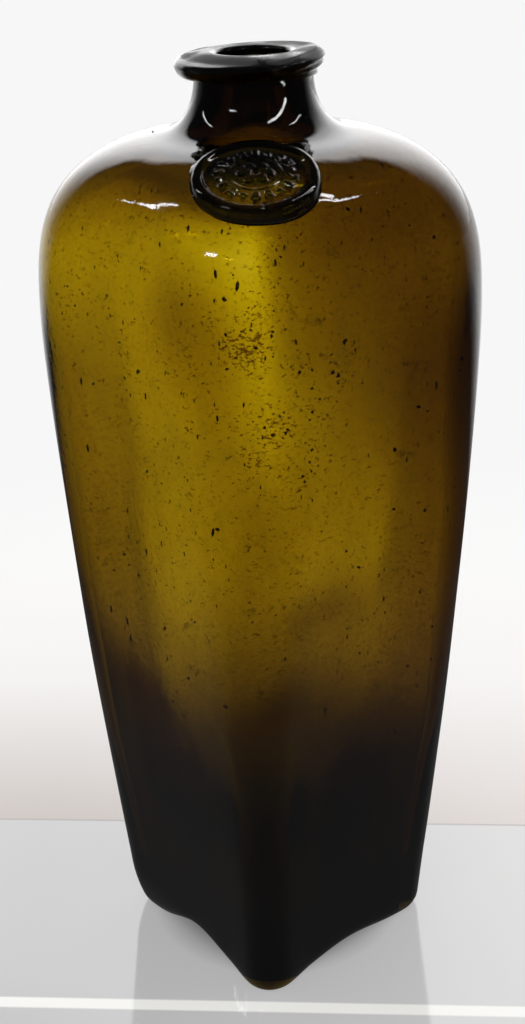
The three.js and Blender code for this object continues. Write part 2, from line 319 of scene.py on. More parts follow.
def mesh_object(name, points, faces, material=None):
    """A smooth mesh object from points in millimetres."""
    mesh = bpy.data.meshes.new(name)
    mesh.from_pydata((np.asarray(points) * MM).tolist(), [], faces)
    mesh.validate()
    mesh.shade_smooth()
    if material:
        mesh.materials.append(material)
    return add_object(name, mesh)


def mesh_points(piece):
    """The points of a mesh object, in metres."""
    points = np.empty(len(piece.data.vertices) * 3)
    piece.data.vertices.foreach_get("co", points)
    return points.reshape(-1, 3)


def add_layer(piece, name, values):
    """Keeps one value per point, which a shader or a scatter tree reads by its name."""
    layer = piece.data.attributes.new(name, "FLOAT", "POINT")
    layer.data.foreach_set("value", values)


def loft_faces(ring_count, points_per_ring):
    """Faces of a closed surface: first end point, rings from the bottom up, last end point."""
    faces = []
    last = 1 + ring_count * points_per_ring
    for i in range(points_per_ring):
        following = (i + 1) % points_per_ring
        faces.append((0, 1 + following, 1 + i))
        faces.append((last - points_per_ring + i, last - points_per_ring + following, last))
    for ring in range(ring_count - 1):
        low = 1 + ring * points_per_ring
        high = low + points_per_ring
        for i in range(points_per_ring):
            following = (i + 1) % points_per_ring
            faces.append((low + i, low + following, high + following, high + i))
    return faces


def ripple(points, wave):
    """Smooth noise at each point. A wave is its height, its width on each axis and a seed."""
    height, width, seed = wave
    offset = Vector([seed * shift for shift in SEED_SHIFT])
    scaled = np.asarray(points) / np.asarray(width)
    return height * np.array([noise.noise(Vector(row) + offset) for row in scaled])


print("points in a ring:", RING_POINTS)


# %% [markdown]
# ## The blown body
#
# A mould-blown bottle is never even. The outside has long soft waves, the inside has stronger
# ones, and the glass is thicker on the two sides towards which the bottle was tipped.
# A displace modifier could add waves, but they have to fade at the feet and the neck,
# so they are added while the rings are made.

# %% Outside of the body
FRONT_FOOT = -EIGHTH_TURN  # directions of the four corners,
LEFT_CORNER = -3 * EIGHTH_TURN  # with left and right as in the photograph
RIGHT_CORNER = EIGHTH_TURN
BACK_CORNER = 3 * EIGHTH_TURN
KICK_UP = 8  # the middle of the base is pushed up by this much
KICK_SHARE = 0.82  # part of the base that it takes up
KICK_POWER = 1.3
BASE_SHARES = np.linspace(0.05, 1, 22)
SQUARE_POWER = 1.5  # how late the base's rings turn from round to square
ARCH_POWER = 4  # how late the arches begin, seen from the middle
ARCH_BY_SIDE = {"+X": 1.9, "+Y": 4.0, "-X": 4.0, "-Y": 5.6}
ARCH_FADE_HEIGHT = 34
FOOT_START_SHARE = 0.8
HEEL_TURNS = np.linspace(0, QUARTER_TURN, 7)[1:]
HEEL_INSET = 3.2
FRONT_HEEL_INSET = 1.2
FRONT_HEEL_WIDTH = 0.6  # widths round the axis are in radians
FRONT_FOOT_REACH = 2.3
FRONT_FOOT_WIDTH = 0.35
FRONT_FOOT_TOP = 30
LEFT_HEEL_DRAW = 2.6  # the heel at the left of the photograph is rounder
LEFT_HEEL_WIDTH = 0.7
LEFT_HEEL_TOP = 14
NECK_SHARES = (0.35, 0.7, 1.0)
OUTER_BULGE = (0.28, (34, 34, 46), 1)  # waves: height, width on each axis, seed
OUTER_STREAK = (0.02, (7, 7, 70), 2)
WAVES_BEGIN = (4, 14)  # from which height on, and over how many millimetres
WAVES_END = (SHOULDER_TOP + 4, 16)
LEAST_REACH = 1e-6  # keeps points on the axis where they are


def near(angle, direction, width):
    """1 in a direction and falling smoothly to 0 at a width from it."""
    away = np.abs(np.mod(angle - direction + math.pi, FULL_TURN) - math.pi)
    return np.cos(np.clip(away / width, 0, 1) * QUARTER_TURN) ** 2


def arch_lift(angle):
    side = np.mod(np.round(angle / QUARTER_TURN), 4).astype(int)
    height = np.array(list(ARCH_BY_SIDE.values()))[side]
    towards_foot = np.clip(fold_angle(angle) / (FOOT_START_SHARE * EIGHTH_TURN), 0, 1)
    return height * (1 + np.cos(math.pi * towards_foot)) / 2


def foot_stretch(angle, z):
    """The front foot is drawn out to a point near the ground, and the left heel is drawn in."""
    low_front = np.clip(1 - z / FRONT_FOOT_TOP, 0, 1) ** 2
    low_left = np.clip(1 - z / LEFT_HEEL_TOP, 0, 1) ** 2
    drawn_out = FRONT_FOOT_REACH * near(angle, FRONT_FOOT, FRONT_FOOT_WIDTH) * low_front
    drawn_in = LEFT_HEEL_DRAW * near(angle, LEFT_CORNER, LEFT_HEEL_WIDTH) * low_left
    return drawn_out - drawn_in


def level_ring(reach, height):
    return np.stack([reach * np.cos(ring_angles), reach * np.sin(ring_angles), height], axis=1)


def ring(half, corner, z, arch, extra=0.0):
    reach = square_reach(ring_angles, half, min(1, corner / half)) + extra
    return level_ring(reach, z + arch * arch_lift(ring_angles))


def arch_fade(z):
    return max(0, 1 - z / ARCH_FADE_HEIGHT) ** 2


def outer_rings():
    rings = []
    front = near(ring_angles, FRONT_FOOT, FRONT_HEEL_WIDTH)
    inset = mix(HEEL_INSET, FRONT_HEEL_INSET, front)
    foot_corner = wall_corner(0) / wall_half(0)
    contact = square_reach(ring_angles, wall_half(0), foot_corner) - inset
    contact = contact + foot_stretch(ring_angles, 0)
    for share in BASE_SHARES:
        dome = KICK_UP * (1 - np.clip(share / KICK_SHARE, 0, 1) ** 2) ** KICK_POWER
        lift = share ** ARCH_POWER * arch_lift(ring_angles)
        reach = mix(contact.mean() * share, contact * share, share ** SQUARE_POWER)
        rings.append(level_ring(reach, dome + lift))
    for turn in HEEL_TURNS:
        z = HEEL_TOP * (1 - math.cos(turn))
        stretch = foot_stretch(ring_angles, z) - inset * (1 - math.sin(turn))
        rings.append(ring(wall_half(z), wall_corner(z), z, arch_fade(z), stretch))
    for z, half, corner in outer_rows[1:]:
        rings.append(ring(half, corner, z, arch_fade(z), foot_stretch(ring_angles, z)))
    for share in NECK_SHARES:
        z = mix(NECK_WAIST, NECK_END, share)
        half = mix(NECK_DIAMETER / 2, NECK_END_DIAMETER / 2, share)
        rings.append(ring(half, half, z, 0))
    return np.array(rings)


def push_out(rings, amount):
    """Moves the points away from the axis by an amount each."""
    flat = rings.reshape(-1, 3)
    reach = np.maximum(axis_reach(flat), LEAST_REACH)
    moved = flat.copy()
    moved[:, 0] += flat[:, 0] / reach * amount
    moved[:, 1] += flat[:, 1] / reach * amount
    return moved.reshape(rings.shape)


def wall_share(rings):
    """1 on the walls and the shoulder, 0 on the base and the neck."""
    z = rings.reshape(-1, 3)[:, 2]
    below, above = WAVES_BEGIN, WAVES_END
    return np.clip((z - below[0]) / below[1], 0, 1) * np.clip((above[0] - z) / above[1], 0, 1)


outside = outer_rings()
outer_points = outside.reshape(-1, 3)
waves = ripple(outer_points, OUTER_BULGE) - OUTER_BULGE[0] + ripple(outer_points, OUTER_STREAK)
outside = push_out(outside, waves * wall_share(outside))
print("outside:", outside.shape[0], "rings, reach", round(float(np.abs(outside).max()), 2), "mm")

# %% [markdown]
# ## Thickness of the glass
#
# The colour of a glass wall is its thickness. The light that reaches the camera through the left
# face has passed two thin walls, and through the right face two thick ones. Towards the
# foot the glass pooled while it was hot. With painted shade on the inside wall there, it
# looks black.

# %% Inside of the body
THICK_SIDE = math.radians(47)  # the glass sagged towards this direction
THICK_TURN = (-0.06, 0.28)  # cosines of the turn from it, where thin glass gets thick
THICK_EXTRA_HIGH = 3.2  # on the thick side near the shoulder
THICK_EXTRA_LOW = 1.2  # on the thick side halfway down
HIGH_FROM = (120, 185)  # pairs of heights say where a change begins and ends
THIN_EXTRA_LOW = 0.5  # on the thin side halfway down
THIN_EXTRA_END = (150, 185)
BACK_CORNER_LESS = 2.2  # the thick side thins out again at the hidden corner
BACK_CORNER_WIDTH = 0.4
FOOT_EXTRA = 4.8
FOOT_EXTRA_END = (20, 110)
FOOT_POWER = 1.9
CORNER_GLASS = (  # glass that gathered in three of the corners
    # direction, width, glass all along and its end, share of it left at the foot and the
    # heights where that begins, glass near the foot only and its end
    (RIGHT_CORNER, 0.85, 2.4, (165, 200), 0.3, (55, 95), 0.0, (50, 145)),
    (LEFT_CORNER, 1.0, 1.2, (160, 195), 0.2, (50, 88), 0.8, (50, 145)),
    (FRONT_FOOT, 0.45, 0.0, (165, 200), 1.0, (55, 95), 1.6, (35, 85)),
)
EXTRA_END = (WALL_HEIGHT + 26, SHOULDER_TOP)
INNER_BULGE = (0.35, (30, 30, 42), 3)
INNER_STREAK = (0.1, (9, 9, 60), 4)
FLOOR_TOP = 16
FLOOR_SHARES = np.linspace(1, 0.08, 10)[1:]


def extra_thickness(angle, z):
    """Glass on the inside of the wall, over the thin wall, in millimetres."""
    thick = rise(*THICK_TURN, np.cos(angle - THICK_SIDE))
    high = rise(*HIGH_FROM, z)
    thick_side = mix(THICK_EXTRA_LOW, THICK_EXTRA_HIGH, high)
    thick_side = thick_side - BACK_CORNER_LESS * near(angle, BACK_CORNER, BACK_CORNER_WIDTH) * high
    thin_side = THIN_EXTRA_LOW * fall(*THIN_EXTRA_END, z)
    pooled = FOOT_EXTRA * fall(*FOOT_EXTRA_END, z) ** FOOT_POWER
    for direction, width, glass, end, foot_part, foot, low_glass, low_end in CORNER_GLASS:
        glass = (glass + low_glass * fall(*low_end, z)) * fall(*end, z)
        glass = glass * mix(foot_part, 1, rise(*foot, z))
        pooled = pooled + glass * near(angle, direction, width)
    return (mix(thin_side, thick_side, thick) + pooled) * fall(*EXTRA_END, z)


def inner_rings():
    """Rings from the mouth down to the middle of the floor."""
    rings = [ring(BORE_DIAMETER / 2, BORE_DIAMETER / 2, NECK_END, 0)]
    for z, half, corner in inner_rows[::-1]:
        extra = extra_thickness(ring_angles, z)
        rings.append(ring(half, corner, z, 0, -extra))
    low_ring = rings[-1]
    reach = axis_reach(low_ring).mean()
    for turn in HEEL_TURNS:
        inset = 1 - FLOOR_CORNER * (1 - math.cos(turn)) / reach
        points = low_ring * np.array([inset, inset, 1])
        points[:, 2] = FLOOR_EDGE + FLOOR_CORNER * (1 - math.sin(turn))
        rings.append(points)
    edge = rings[-1]
    for share in FLOOR_SHARES:
        points = edge * np.array([share, share, 1])
        points[:, 2] = FLOOR_EDGE + (FLOOR_TOP - FLOOR_EDGE) * (1 - share * share)
        rings.append(points)
    return np.array(rings)


middle_extra = float(extra_thickness(THICK_SIDE, WALL_HEIGHT / 2))
print("extra glass halfway down the thick side:", round(middle_extra, 1), "mm")


# %% Thick and thin places of the front walls
GLASS_SPOTS = [  # pixel of the photograph, half width, half height, extra glass
    ((168, 325), 9, 15, 2.5),
    ((205, 378), 7, 22, 1.7),
    ((112, 440), 9, 38, 0.6),
    ((100, 540), 11, 30, 0.5),
    ((272, 246), 12, 20, -1.5),
    ((210, 238), 20, 16, -0.9),
    ((246, 340), 10, 24, 0.8),
    ((240, 222), 22, 12, -1.1),
    ((438, 285), 14, 40, 0.6),
    ((205, 520), 9, 26, -0.5),
    ((246, 530), 12, 36, 0.7),
    ((350, 445), 26, 44, -0.8),
    ((256, 640), 10, 36, 1.4),
    ((314, 402), 15, 26, -1.7),
    ((380, 560), 9, 12, -0.4),
    ((330, 625), 14, 8, 1.0),
    ((352, 208), 22, 9, 1.0),
    ((250, 535), 14, 20, 1.0),
    ((305, 540), 14, 20, 1.0),
]
SEARCH_DISTANCES = np.arange(330, 480, 0.5)  # from the camera, in millimetres


def front_wall_point(pixel):
    """Where a sight line meets the smooth outside, searched along the line in millimetres."""
    start = np.array(CAMERA_PLACE) / MM
    line = np.array(sight(pixel))
    for distance in SEARCH_DISTANCES:
        point = start + line * distance
        half, corner = wall_at(point[2])
        reach = square_reach(np.arctan2(point[1], point[0]), half, min(1, corner / half))
        if math.hypot(point[0], point[1]) < reach:
            return point
    return point


def spot_glass(points):
    extra = np.zeros(len(points))
    for pixel, wide, tall, amount in GLASS_SPOTS:
        away = points - front_wall_point(pixel)
        level = axis_reach(away)
        extra += amount * np.exp(-(level / wide) ** 2 - (away[:, 2] / tall) ** 2)
    return extra


inside = inner_rings()
inner_points = inside.reshape(-1, 3)
waves = ripple(inner_points, INNER_BULGE) + ripple(inner_points, INNER_STREAK)
inside = push_out(inside, (waves - spot_glass(inner_points)) * wall_share(inside))
print("inside:", inside.shape[0], "rings")

# %% Closed body mesh
def closed_body():
    rings = np.concatenate([outside, inside])
    flat = rings.reshape(-1, 3)
    underside = [[0, 0, KICK_UP]]
    floor = [[0, 0, FLOOR_TOP]]
    points = np.concatenate([underside, flat, floor])
    return mesh_object("blown_body", points, loft_faces(len(rings), RING_POINTS))


body = closed_body()
body_tree = BVHTree.FromObject(body, bpy.context.evaluated_depsgraph_get())
triangles = sum(len(face.vertices) - 2 for face in body.data.polygons)
print("blown body:", triangles, "triangles")


def on_glass(pixel):
    """Point and outward direction of the body where the camera sees it at a pixel."""
    point, normal, _, _ = body_tree.ray_cast(CAMERA_PLACE, sight(pixel))
    return point, normal


# %% [markdown]
# ## The collar round the mouth
#
# The bottle maker laid a thread of hot glass round the sheared neck and pressed it down.
# It could be a turned ring, but a hand-laid one is thicker on one side, leans, slopes down
# at the front and shows where the ends of the thread lap over each other. So its outline is
# turned by a loop that changes with the angle. Its flat top is rubbed dull in patches, which
# is kept as one value per point for the shader.

# %% Lip collar
LIP_DIAMETER = 37
LIP_SKIRT = 0.2
LIP_FLAT = 1.5  # width of the flat top round the mouth
LIP_BOTTOM_SHARE = 0.25  # of the way up the short straight neck above the waist
LIP_LEAN = math.radians(2.4)
LIP_SHIFT = 1.0  # towards the left of the photograph
LIP_POINTS = 200
LIP_ROUND_POINTS = 38
LIP_WANDER = ((0.25, 2, 0.6), (0.2, 3, -1.0))  # how far, how many times, first turn
LIP_SIDE_ROOM = 0.45  # left free for the wander
LIP_TOP_ROOM = 0.75
LIP_MIDDLE_SHARE = 0.6  # height of the widest line
LIP_LOW_DROP = 0.2
SKIRT_BEND = 1.25
CROWN_BENDS = (0.5, 1.15)  # at the back and at the front
PHOTO_RIGHT = math.atan2(level_right.y, level_right.x)
SLOPE_DIRECTION = PHOTO_RIGHT - 1.8
SLOPE_WIDTH = 1.7  # the collar's top slopes down on this side
RIDGE_REACH = 2.0  # how far its ridge lies from the mouth there
FRONT_FALL = 1.3
FALL_REACH = (10.4, 17.0)  # distances from the axis where the slope begins and ends
FALL_HEIGHTS = (240.8, 243.0)
SHIFT_REACH = (15.2, 16.6)
LEAN_REACH = (2, 4)  # from which distance from the bore, and over how far
LAP_DIRECTION = PHOTO_RIGHT - 0.3
LAP_GROOVE = 0.75
LAP_WIDTH = 0.9
LAP_TURNS = (0.24, 0.56)  # where the groove runs on the round side, in half turns
LAP_GROOVE_WIDTH = 0.2
MOUTH_BEVEL = 0.9
MOUTH_DROP = 0.2
FLAT_SHARES = (0.33, 0.66)
BEVEL_SHARES = np.linspace(0, 1, 5)
BORE_SHARE = 0.6  # down the bore, where the last row of the outline lies
LIP_WAVE = (0.18, (6, 6, 5), 11)
LIP_WAVE_FADE = 2  # millimetres from the neck outwards
LIP_WAVE_SPREAD = np.array([0.6, 0.6, 1])
WEAR_HEIGHTS = (242.0, 243.0)  # worn from the first height on, fully from the second
WEAR_INNER_REACH = (9.6, 10.6)
WEAR_OUTER_REACH = (16.6, 18.0)
WEAR_PATCHES = (0.8, (5, 5, 5), 41)
WEAR_MIDDLE = 0.8
WEAR_LEAST = 0.4


def angle_between(angle, direction):
    """Signed turn from a direction to an angle, between minus and plus half a turn."""
    return (angle - direction + math.pi) % FULL_TURN - math.pi


def lip_outline(angle):
    """Rows of reach and height, closed, from the seat on the neck end round the outside."""
    bore = BORE_DIAMETER / 2
    bottom = mix(NECK_WAIST, NECK_END, LIP_BOTTOM_SHARE)
    skirt = mix(NECK_DIAMETER, NECK_END_DIAMETER, LIP_BOTTOM_SHARE) / 2 + JOINT_GAP
    end = NECK_END_DIAMETER / 2 + JOINT_GAP
    seat = NECK_END + JOINT_GAP
    fat = sum(far * math.sin(angle * times + first) for far, times, first in LIP_WANDER)
    widest = LIP_DIAMETER / 2 - LIP_SIDE_ROOM + fat
    front = near(angle, SLOPE_DIRECTION, SLOPE_WIDTH)
    ridge = bore + LIP_FLAT + RIDGE_REACH * front
    top = LIP_TOP - LIP_TOP_ROOM
    middle = mix(bottom, top, LIP_MIDDLE_SHARE)
    lap = near(angle, LAP_DIRECTION, LAP_WIDTH)
    from_front = np.clip((angle_between(angle, LAP_DIRECTION) + LAP_WIDTH) / (2 * LAP_WIDTH), 0, 1)
    lap_turn = mix(*LAP_TURNS, from_front) * math.pi
    rows = [(bore, seat), ((bore + end) / 2, seat), (end, seat), (skirt, bottom)]
    for share in np.linspace(0, 1, LIP_ROUND_POINTS):
        turn = share * math.pi
        low_part = turn < QUARTER_TURN
        inner = skirt + LIP_SKIRT if low_part else ridge
        height = middle - bottom + LIP_LOW_DROP if low_part else top - middle
        bend = SKIRT_BEND if low_part else mix(*CROWN_BENDS, front)
        groove = LAP_GROOVE * lap * math.exp(-((turn - lap_turn) / LAP_GROOVE_WIDTH) ** 2)
        reach = inner + (widest - inner) * max(0, math.sin(turn)) ** bend - groove
        rows.append((reach, middle - height * math.cos(turn)))
    for share in FLAT_SHARES:
        rows.append((mix(ridge, bore + MOUTH_BEVEL, share), top - MOUTH_DROP * share))
    for share in BEVEL_SHARES:
        turn = share * QUARTER_TURN
        reach = bore + MOUTH_BEVEL * (1 - math.sin(turn))
        rows.append((reach, top - MOUTH_DROP - MOUTH_BEVEL * (1 - math.cos(turn))))
    rows.append((bore, mix(top, seat, BORE_SHARE)))
    return rows


def lip_points():
    points = []
    for i in range(LIP_POINTS):
        angle = i / LIP_POINTS * FULL_TURN
        rightward = math.cos(angle - PHOTO_RIGHT)
        fall_here = FRONT_FALL * near(angle, SLOPE_DIRECTION, SLOPE_WIDTH)
        for reach, z in lip_outline(angle):
            outer = np.clip((reach - BORE_DIAMETER / 2 - LEAN_REACH[0]) / LEAN_REACH[1], 0, 1)
            outer = outer * (z > NECK_WAIST + 1)
            z = z - fall_here * rise(*FALL_REACH, reach) * rise(*FALL_HEIGHTS, z)
            z = z + outer * math.tan(LIP_LEAN) * reach * rightward
            across = -LIP_SHIFT * outer * rise(*SHIFT_REACH, reach)
            points.append((reach * math.cos(angle) + across * level_right.x,
                           reach * math.sin(angle) + across * level_right.y, z))
    return np.array(points)


def ring_faces(rings, rows):
    """Faces of a closed ring whose outline turns anticlockwise round its own middle."""
    faces = []
    for i in range(rings):
        after = (i + 1) % rings
        for k in range(rows):
            up = (k + 1) % rows
            faces.append((i * rows + k, after * rows + k, after * rows + up, i * rows + up))
    return faces


lip_rows = len(lip_outline(0))
points = lip_points()
outer = axis_reach(points) - NECK_DIAMETER / 2
outer = np.clip(outer / LIP_WAVE_FADE, 0, 1)
points += (ripple(points, LIP_WAVE) * outer)[:, None] * LIP_WAVE_SPREAD
lip = mesh_object("lip_collar", points, ring_faces(LIP_POINTS, lip_rows))
lip_reach = axis_reach(points)
wear = rise(*WEAR_HEIGHTS, points[:, 2]) * fall(*WEAR_OUTER_REACH, lip_reach)
wear = wear * rise(*WEAR_INNER_REACH, lip_reach)
patches = np.clip(WEAR_MIDDLE + ripple(points, WEAR_PATCHES), WEAR_LEAST, 1)
add_layer(lip, "wear", wear * patches)
print("lip collar:", len(lip.data.polygons), "faces, top at", round(points[:, 2].max(), 2))

# %% [markdown]
# ## The stamped pad
#
# A blob of glass was dropped on the shoulder corner and pressed with an engraved stamp. Its rim
# rolled up round the stamp, and the field inside it is sunk. The engraving here is a plain
# one: a rosette, with a ring of short bars and beads round it. The relief is a height
# that is worked out for each point, and the back follows the shoulder below.

# %% Place of the pad
SEAL_WIDTH = 29
SEAL_HEIGHT = 25.8
SEAL_THICKNESS = 2.2
SEAL_CROWN = 1.0
SEAL_TURN = 0.07
SEAL_PLACE_SHARE = 0.445
SEAL_DIRECTION = FRONT_FOOT + SEAL_TURN
SEARCH_LEVELS = 1600
SEARCH_LIFT = 4  # the shoulder is searched from this far above each point of the pad
DEEPEST_BACK = 8.0  # used where no shoulder is found


def glass_below(point, normal):
    """Distance down along the normal from a point in millimetres to the body's outside."""
    start = Vector(point) * MM
    hit, _, _, distance = body_tree.ray_cast(start, -Vector(normal))
    return distance / MM if hit else None


def shoulder_line(z):
    """The point of the smooth outside at a height, in the pad's direction."""
    half, corner = wall_at(z)
    reach = float(square_reach(np.array(SEAL_DIRECTION), half, corner / half))
    return np.array([reach * math.cos(SEAL_DIRECTION), reach * math.sin(SEAL_DIRECTION), z])


def seal_frame():
    heights = np.linspace(WALL_HEIGHT, SHOULDER_TOP + 4, SEARCH_LEVELS)
    line = np.array([shoulder_line(z) for z in heights])
    reach = axis_reach(line)
    corner_reach = np.hypot(*shoulder_line(WALL_HEIGHT)[:2])
    place_reach = mix(NECK_ROOT_DIAMETER / 2, corner_reach, SEAL_PLACE_SHARE)
    place = int(np.argmin(np.abs(reach - place_reach)))
    away = np.linalg.norm(line - line[place], axis=1)
    upper = line[place + int(np.argmin(np.abs(away[place:] - SEAL_HEIGHT / 2)))]
    lower = line[int(np.argmin(np.abs(away[:place] - SEAL_HEIGHT / 2)))]
    outwards = np.array([math.cos(SEAL_DIRECTION), math.sin(SEAL_DIRECTION), 0])
    across = np.cross([0, 0, 1], outwards)
    up_slope = (upper - lower) / np.linalg.norm(upper - lower)
    return (upper + lower) / 2, across, up_slope, np.cross(across, up_slope)


seal_middle, seal_across, seal_up, seal_normal = seal_frame()
print("pad middle:", seal_middle.round(2), "normal:", seal_normal.round(3))

# %% Relief of the pad
SEAL_TURNS = 224
SEAL_RECESS = 0.8
FIELD_EDGE = (0.78, 0.87)  # pairs are from and to, as shares of the pad's half width
SEAL_EDGE_ROUND = 1.0
EDGE_START = 0.92
EDGE_WIDTH = 0.08
EDGE_ROUND_SHARE = 0.98  # how much of a quarter round the edge takes
BAR_COUNT = 18
BAR_RELIEF = 0.55
BAR_BAND = (0.5, 0.66)
BAR_SOFTNESS = 0.02
BAR_START = (0.16, 0.3)  # round the pad, as shares of the room of one bar
BAR_END = (0.7, 0.84)
BEAD_REACH = 0.05
BEAD_ROOM = 0.3
NOTCH_DEPTH = 0.8  # every third mark is a bar with a notch in its middle
NOTCH_WIDTH = 0.022
PETAL_COUNT = 6
PETAL_ROOT = 0.13
PETAL_LENGTH = 0.17
PETAL_POWER = 0.6
PETAL_SOFTNESS = (0.03, 0.02)
HEART_EDGE = (0.06, 0.09)
HEART_DEPTH = 0.5
ROSETTE_RELIEF = 0.6
THREAD_SHARE = 0.41
THREAD_WIDTH = 0.014
THREAD_RELIEF = 0.2
DRIP_DIRECTION = 2.62  # on the pad, anticlockwise from its right end
DRIP_WIDTH = 0.4
DRIP_REACH = 2.4
DRIP_MIDDLE = 0.72  # share of its reach about which its ragged edge swings
TEAR_DIRECTION = -1.42
TEAR_WIDTH = 0.035
TEAR_START = (0.72, 0.8)
TEAR_DEPTH = 0.5


def pad_marks(share, turn):
    """1 on the bars and beads round the rosette, 0 between them."""
    low, high = BAR_BAND
    band = rise(low - BAR_SOFTNESS, low + BAR_SOFTNESS, share)
    band = band * fall(high - BAR_SOFTNESS, high + BAR_SOFTNESS, share)
    place = turn / FULL_TURN * BAR_COUNT
    beat = np.mod(place, 1)
    bar = rise(*BAR_START, beat) * fall(*BAR_END, beat)
    kind = np.mod(np.floor(place), 3)
    off_middle = share - (low + high) / 2
    bead = 1 - (off_middle / BEAD_REACH) ** 2 - ((beat - 0.5) / BEAD_ROOM) ** 2
    bead = np.clip(bead, 0, 1) ** 0.5
    notch = 1 - NOTCH_DEPTH * np.exp(-(off_middle / NOTCH_WIDTH) ** 2)
    return np.where(kind == 0, bead, np.where(kind == 1, band * bar, band * bar * notch))


def pad_relief(share, turn):
    """Height of the pad's face over its rim crown, in millimetres."""
    field = -SEAL_RECESS * fall(*FIELD_EDGE, share)
    edge = np.clip((share - EDGE_START) / EDGE_WIDTH, 0, 1)
    height = field - SEAL_EDGE_ROUND * (1 - np.sqrt(1 - edge ** 2 * EDGE_ROUND_SHARE))
    petal = PETAL_ROOT + PETAL_LENGTH * np.abs(np.cos(turn * PETAL_COUNT / 2)) ** PETAL_POWER
    petals = fall(petal - PETAL_SOFTNESS[0], petal + PETAL_SOFTNESS[1], share)
    rosette = ROSETTE_RELIEF * (petals - HEART_DEPTH * fall(*HEART_EDGE, share))
    thread = THREAD_RELIEF * np.exp(-((share - THREAD_SHARE) / THREAD_WIDTH) ** 2)
    tear = near(turn, TEAR_DIRECTION, TEAR_WIDTH) * rise(*TEAR_START, share)
    marks = BAR_RELIEF * pad_marks(share, turn)
    return height + marks + rosette + thread - TEAR_DEPTH * tear


middle_height = pad_relief(np.array([0.0]), np.array([0.0]))[0]
print("rosette over the sunk field:", round(float(middle_height) + SEAL_RECESS, 2), "mm")


# %% Pad mesh
PAD_WANDER = (0.014, (0.6, 0.6, 1), 21)  # waves: height, width on each axis, seed
PAD_TREMBLE = (0.006, (0.14, 0.14, 1), 22)
RIM_TILT = (0.12, (0.5, 0.5, 1), 23)
RIM_TILT_EDGE = (0.75, 0.9)
DRIP_EDGE = (0.28, (0.05, 0.05, 1), 24)
FACE_PARTS = ((0.03, 0.46, 30), (0.47, 0.69, 24), (0.71, 1, 26))  # from, to, rings
FACE_SHARES = np.concatenate([np.linspace(*part) for part in FACE_PARTS])
SIDE_SHARES = (0.25, 0.5, 0.75, 0.93)
BACK_SHARES = np.linspace(0.96, 0.06, 22)
SEAL_FLARE = 0.025
FLARE_POWER = 1.6
SIDE_SWELL = 0.012
TOP_PAINTED_SHADE = 0.9  # painted shade on the upper half, the rim and the marks
TOP_PAINTED_SHADE_HEIGHTS = (-0.45, 0.3)
RIM_PAINTED_SHADE = 0.97
RIM_PAINTED_SHADE_EDGE = (0.72, 0.84)
MARKS_PAINTED_SHADE = 0.85
FACE_LEVEL = 0.3  # higher than this over the pad's middle is its face


def seal_mesh():
    turns = np.linspace(0, FULL_TURN, SEAL_TURNS, endpoint=False)
    circle = np.stack([np.cos(turns), np.sin(turns), np.zeros_like(turns)], axis=1)
    wander = 1 + ripple(circle, PAD_WANDER) + ripple(circle, PAD_TREMBLE)
    rim_tilt = ripple(circle, RIM_TILT)
    drip = near(turns, DRIP_DIRECTION, DRIP_WIDTH)
    ragged = DRIP_MIDDLE + ripple(circle, DRIP_EDGE)
    flare = SEAL_FLARE + (DRIP_REACH / (SEAL_WIDTH / 2)) * drip * ragged
    raised = seal_middle + seal_normal * SEAL_HEIGHT / 2
    crown_depth = glass_below(raised, seal_normal)
    face_centre = raised - seal_normal * (crown_depth - SEAL_THICKNESS)

    def face_points(share, height):
        wide = share * wander * SEAL_WIDTH / 2 * np.cos(turns)
        tall = share * wander * SEAL_HEIGHT / 2 * np.sin(turns)
        up = np.broadcast_to(height - SEAL_CROWN * share ** 2, turns.shape)
        return (face_centre + wide[:, None] * seal_across + tall[:, None] * seal_up
                + up[:, None] * seal_normal)

    def back_points(points):
        lifted = points + seal_normal * SEARCH_LIFT
        depths = [glass_below(point, seal_normal) for point in lifted]
        depths = np.array([DEEPEST_BACK if depth is None else depth for depth in depths])
        return lifted - seal_normal * (depths - JOINT_GAP)[:, None]

    face = []
    for share in FACE_SHARES:
        height = pad_relief(np.full_like(turns, share), turns)
        face.append(face_points(share, height + rim_tilt * rise(*RIM_TILT_EDGE, share)))
    from_centre = face[-1] - face_centre
    side = []
    for share in SIDE_SHARES:
        spread = 1 + flare * share ** FLARE_POWER + SIDE_SWELL * math.sin(share * math.pi)
        shifted = face_centre + from_centre * spread[:, None]
        side.append(mix(shifted, back_points(shifted), share))
    back = [back_points(face_centre + from_centre * (1 + flare)[:, None])]
    for share in BACK_SHARES:
        back.append(back_points(face_points(share, 0)))
    rings = back[::-1] + side[::-1] + face[::-1]
    back_centre = raised - seal_normal * (crown_depth - JOINT_GAP)
    face_middle = face_centre + seal_normal * middle_height
    points = np.concatenate([[back_centre], np.concatenate(rings), [face_middle]])
    return mesh_object("stamped_pad", points, loft_faces(len(rings), SEAL_TURNS))


seal = seal_mesh()
pad_points = mesh_points(seal) / MM - seal_middle
right_pad = pad_points @ seal_across / (SEAL_WIDTH / 2)
up_pad = pad_points @ seal_up / (SEAL_HEIGHT / 2)
share_pad = np.hypot(right_pad, up_pad)
marks_pad = pad_marks(share_pad, np.arctan2(up_pad, right_pad))
on_face = pad_points @ seal_normal > FACE_LEVEL
# painted shade: the pad's upper half, rim and marks are darkened where little light comes through
dark = TOP_PAINTED_SHADE * rise(*TOP_PAINTED_SHADE_HEIGHTS, up_pad)
dark = np.maximum(dark, RIM_PAINTED_SHADE * rise(*RIM_PAINTED_SHADE_EDGE, share_pad))
dark = np.maximum(dark, MARKS_PAINTED_SHADE * marks_pad * on_face)
add_layer(seal, "residue", dark)
print("stamped pad:", len(seal.data.polygons), "faces")

# %% [markdown]
# ## A board for shader and geometry nodes
#
# Node trees are easier to read as sums. A signal is one socket, and plus, minus, times,
# divide and power on it add the Math nodes. Every other node comes from one method of the
# board, which takes the kind of node, its settings and what goes into its sockets.

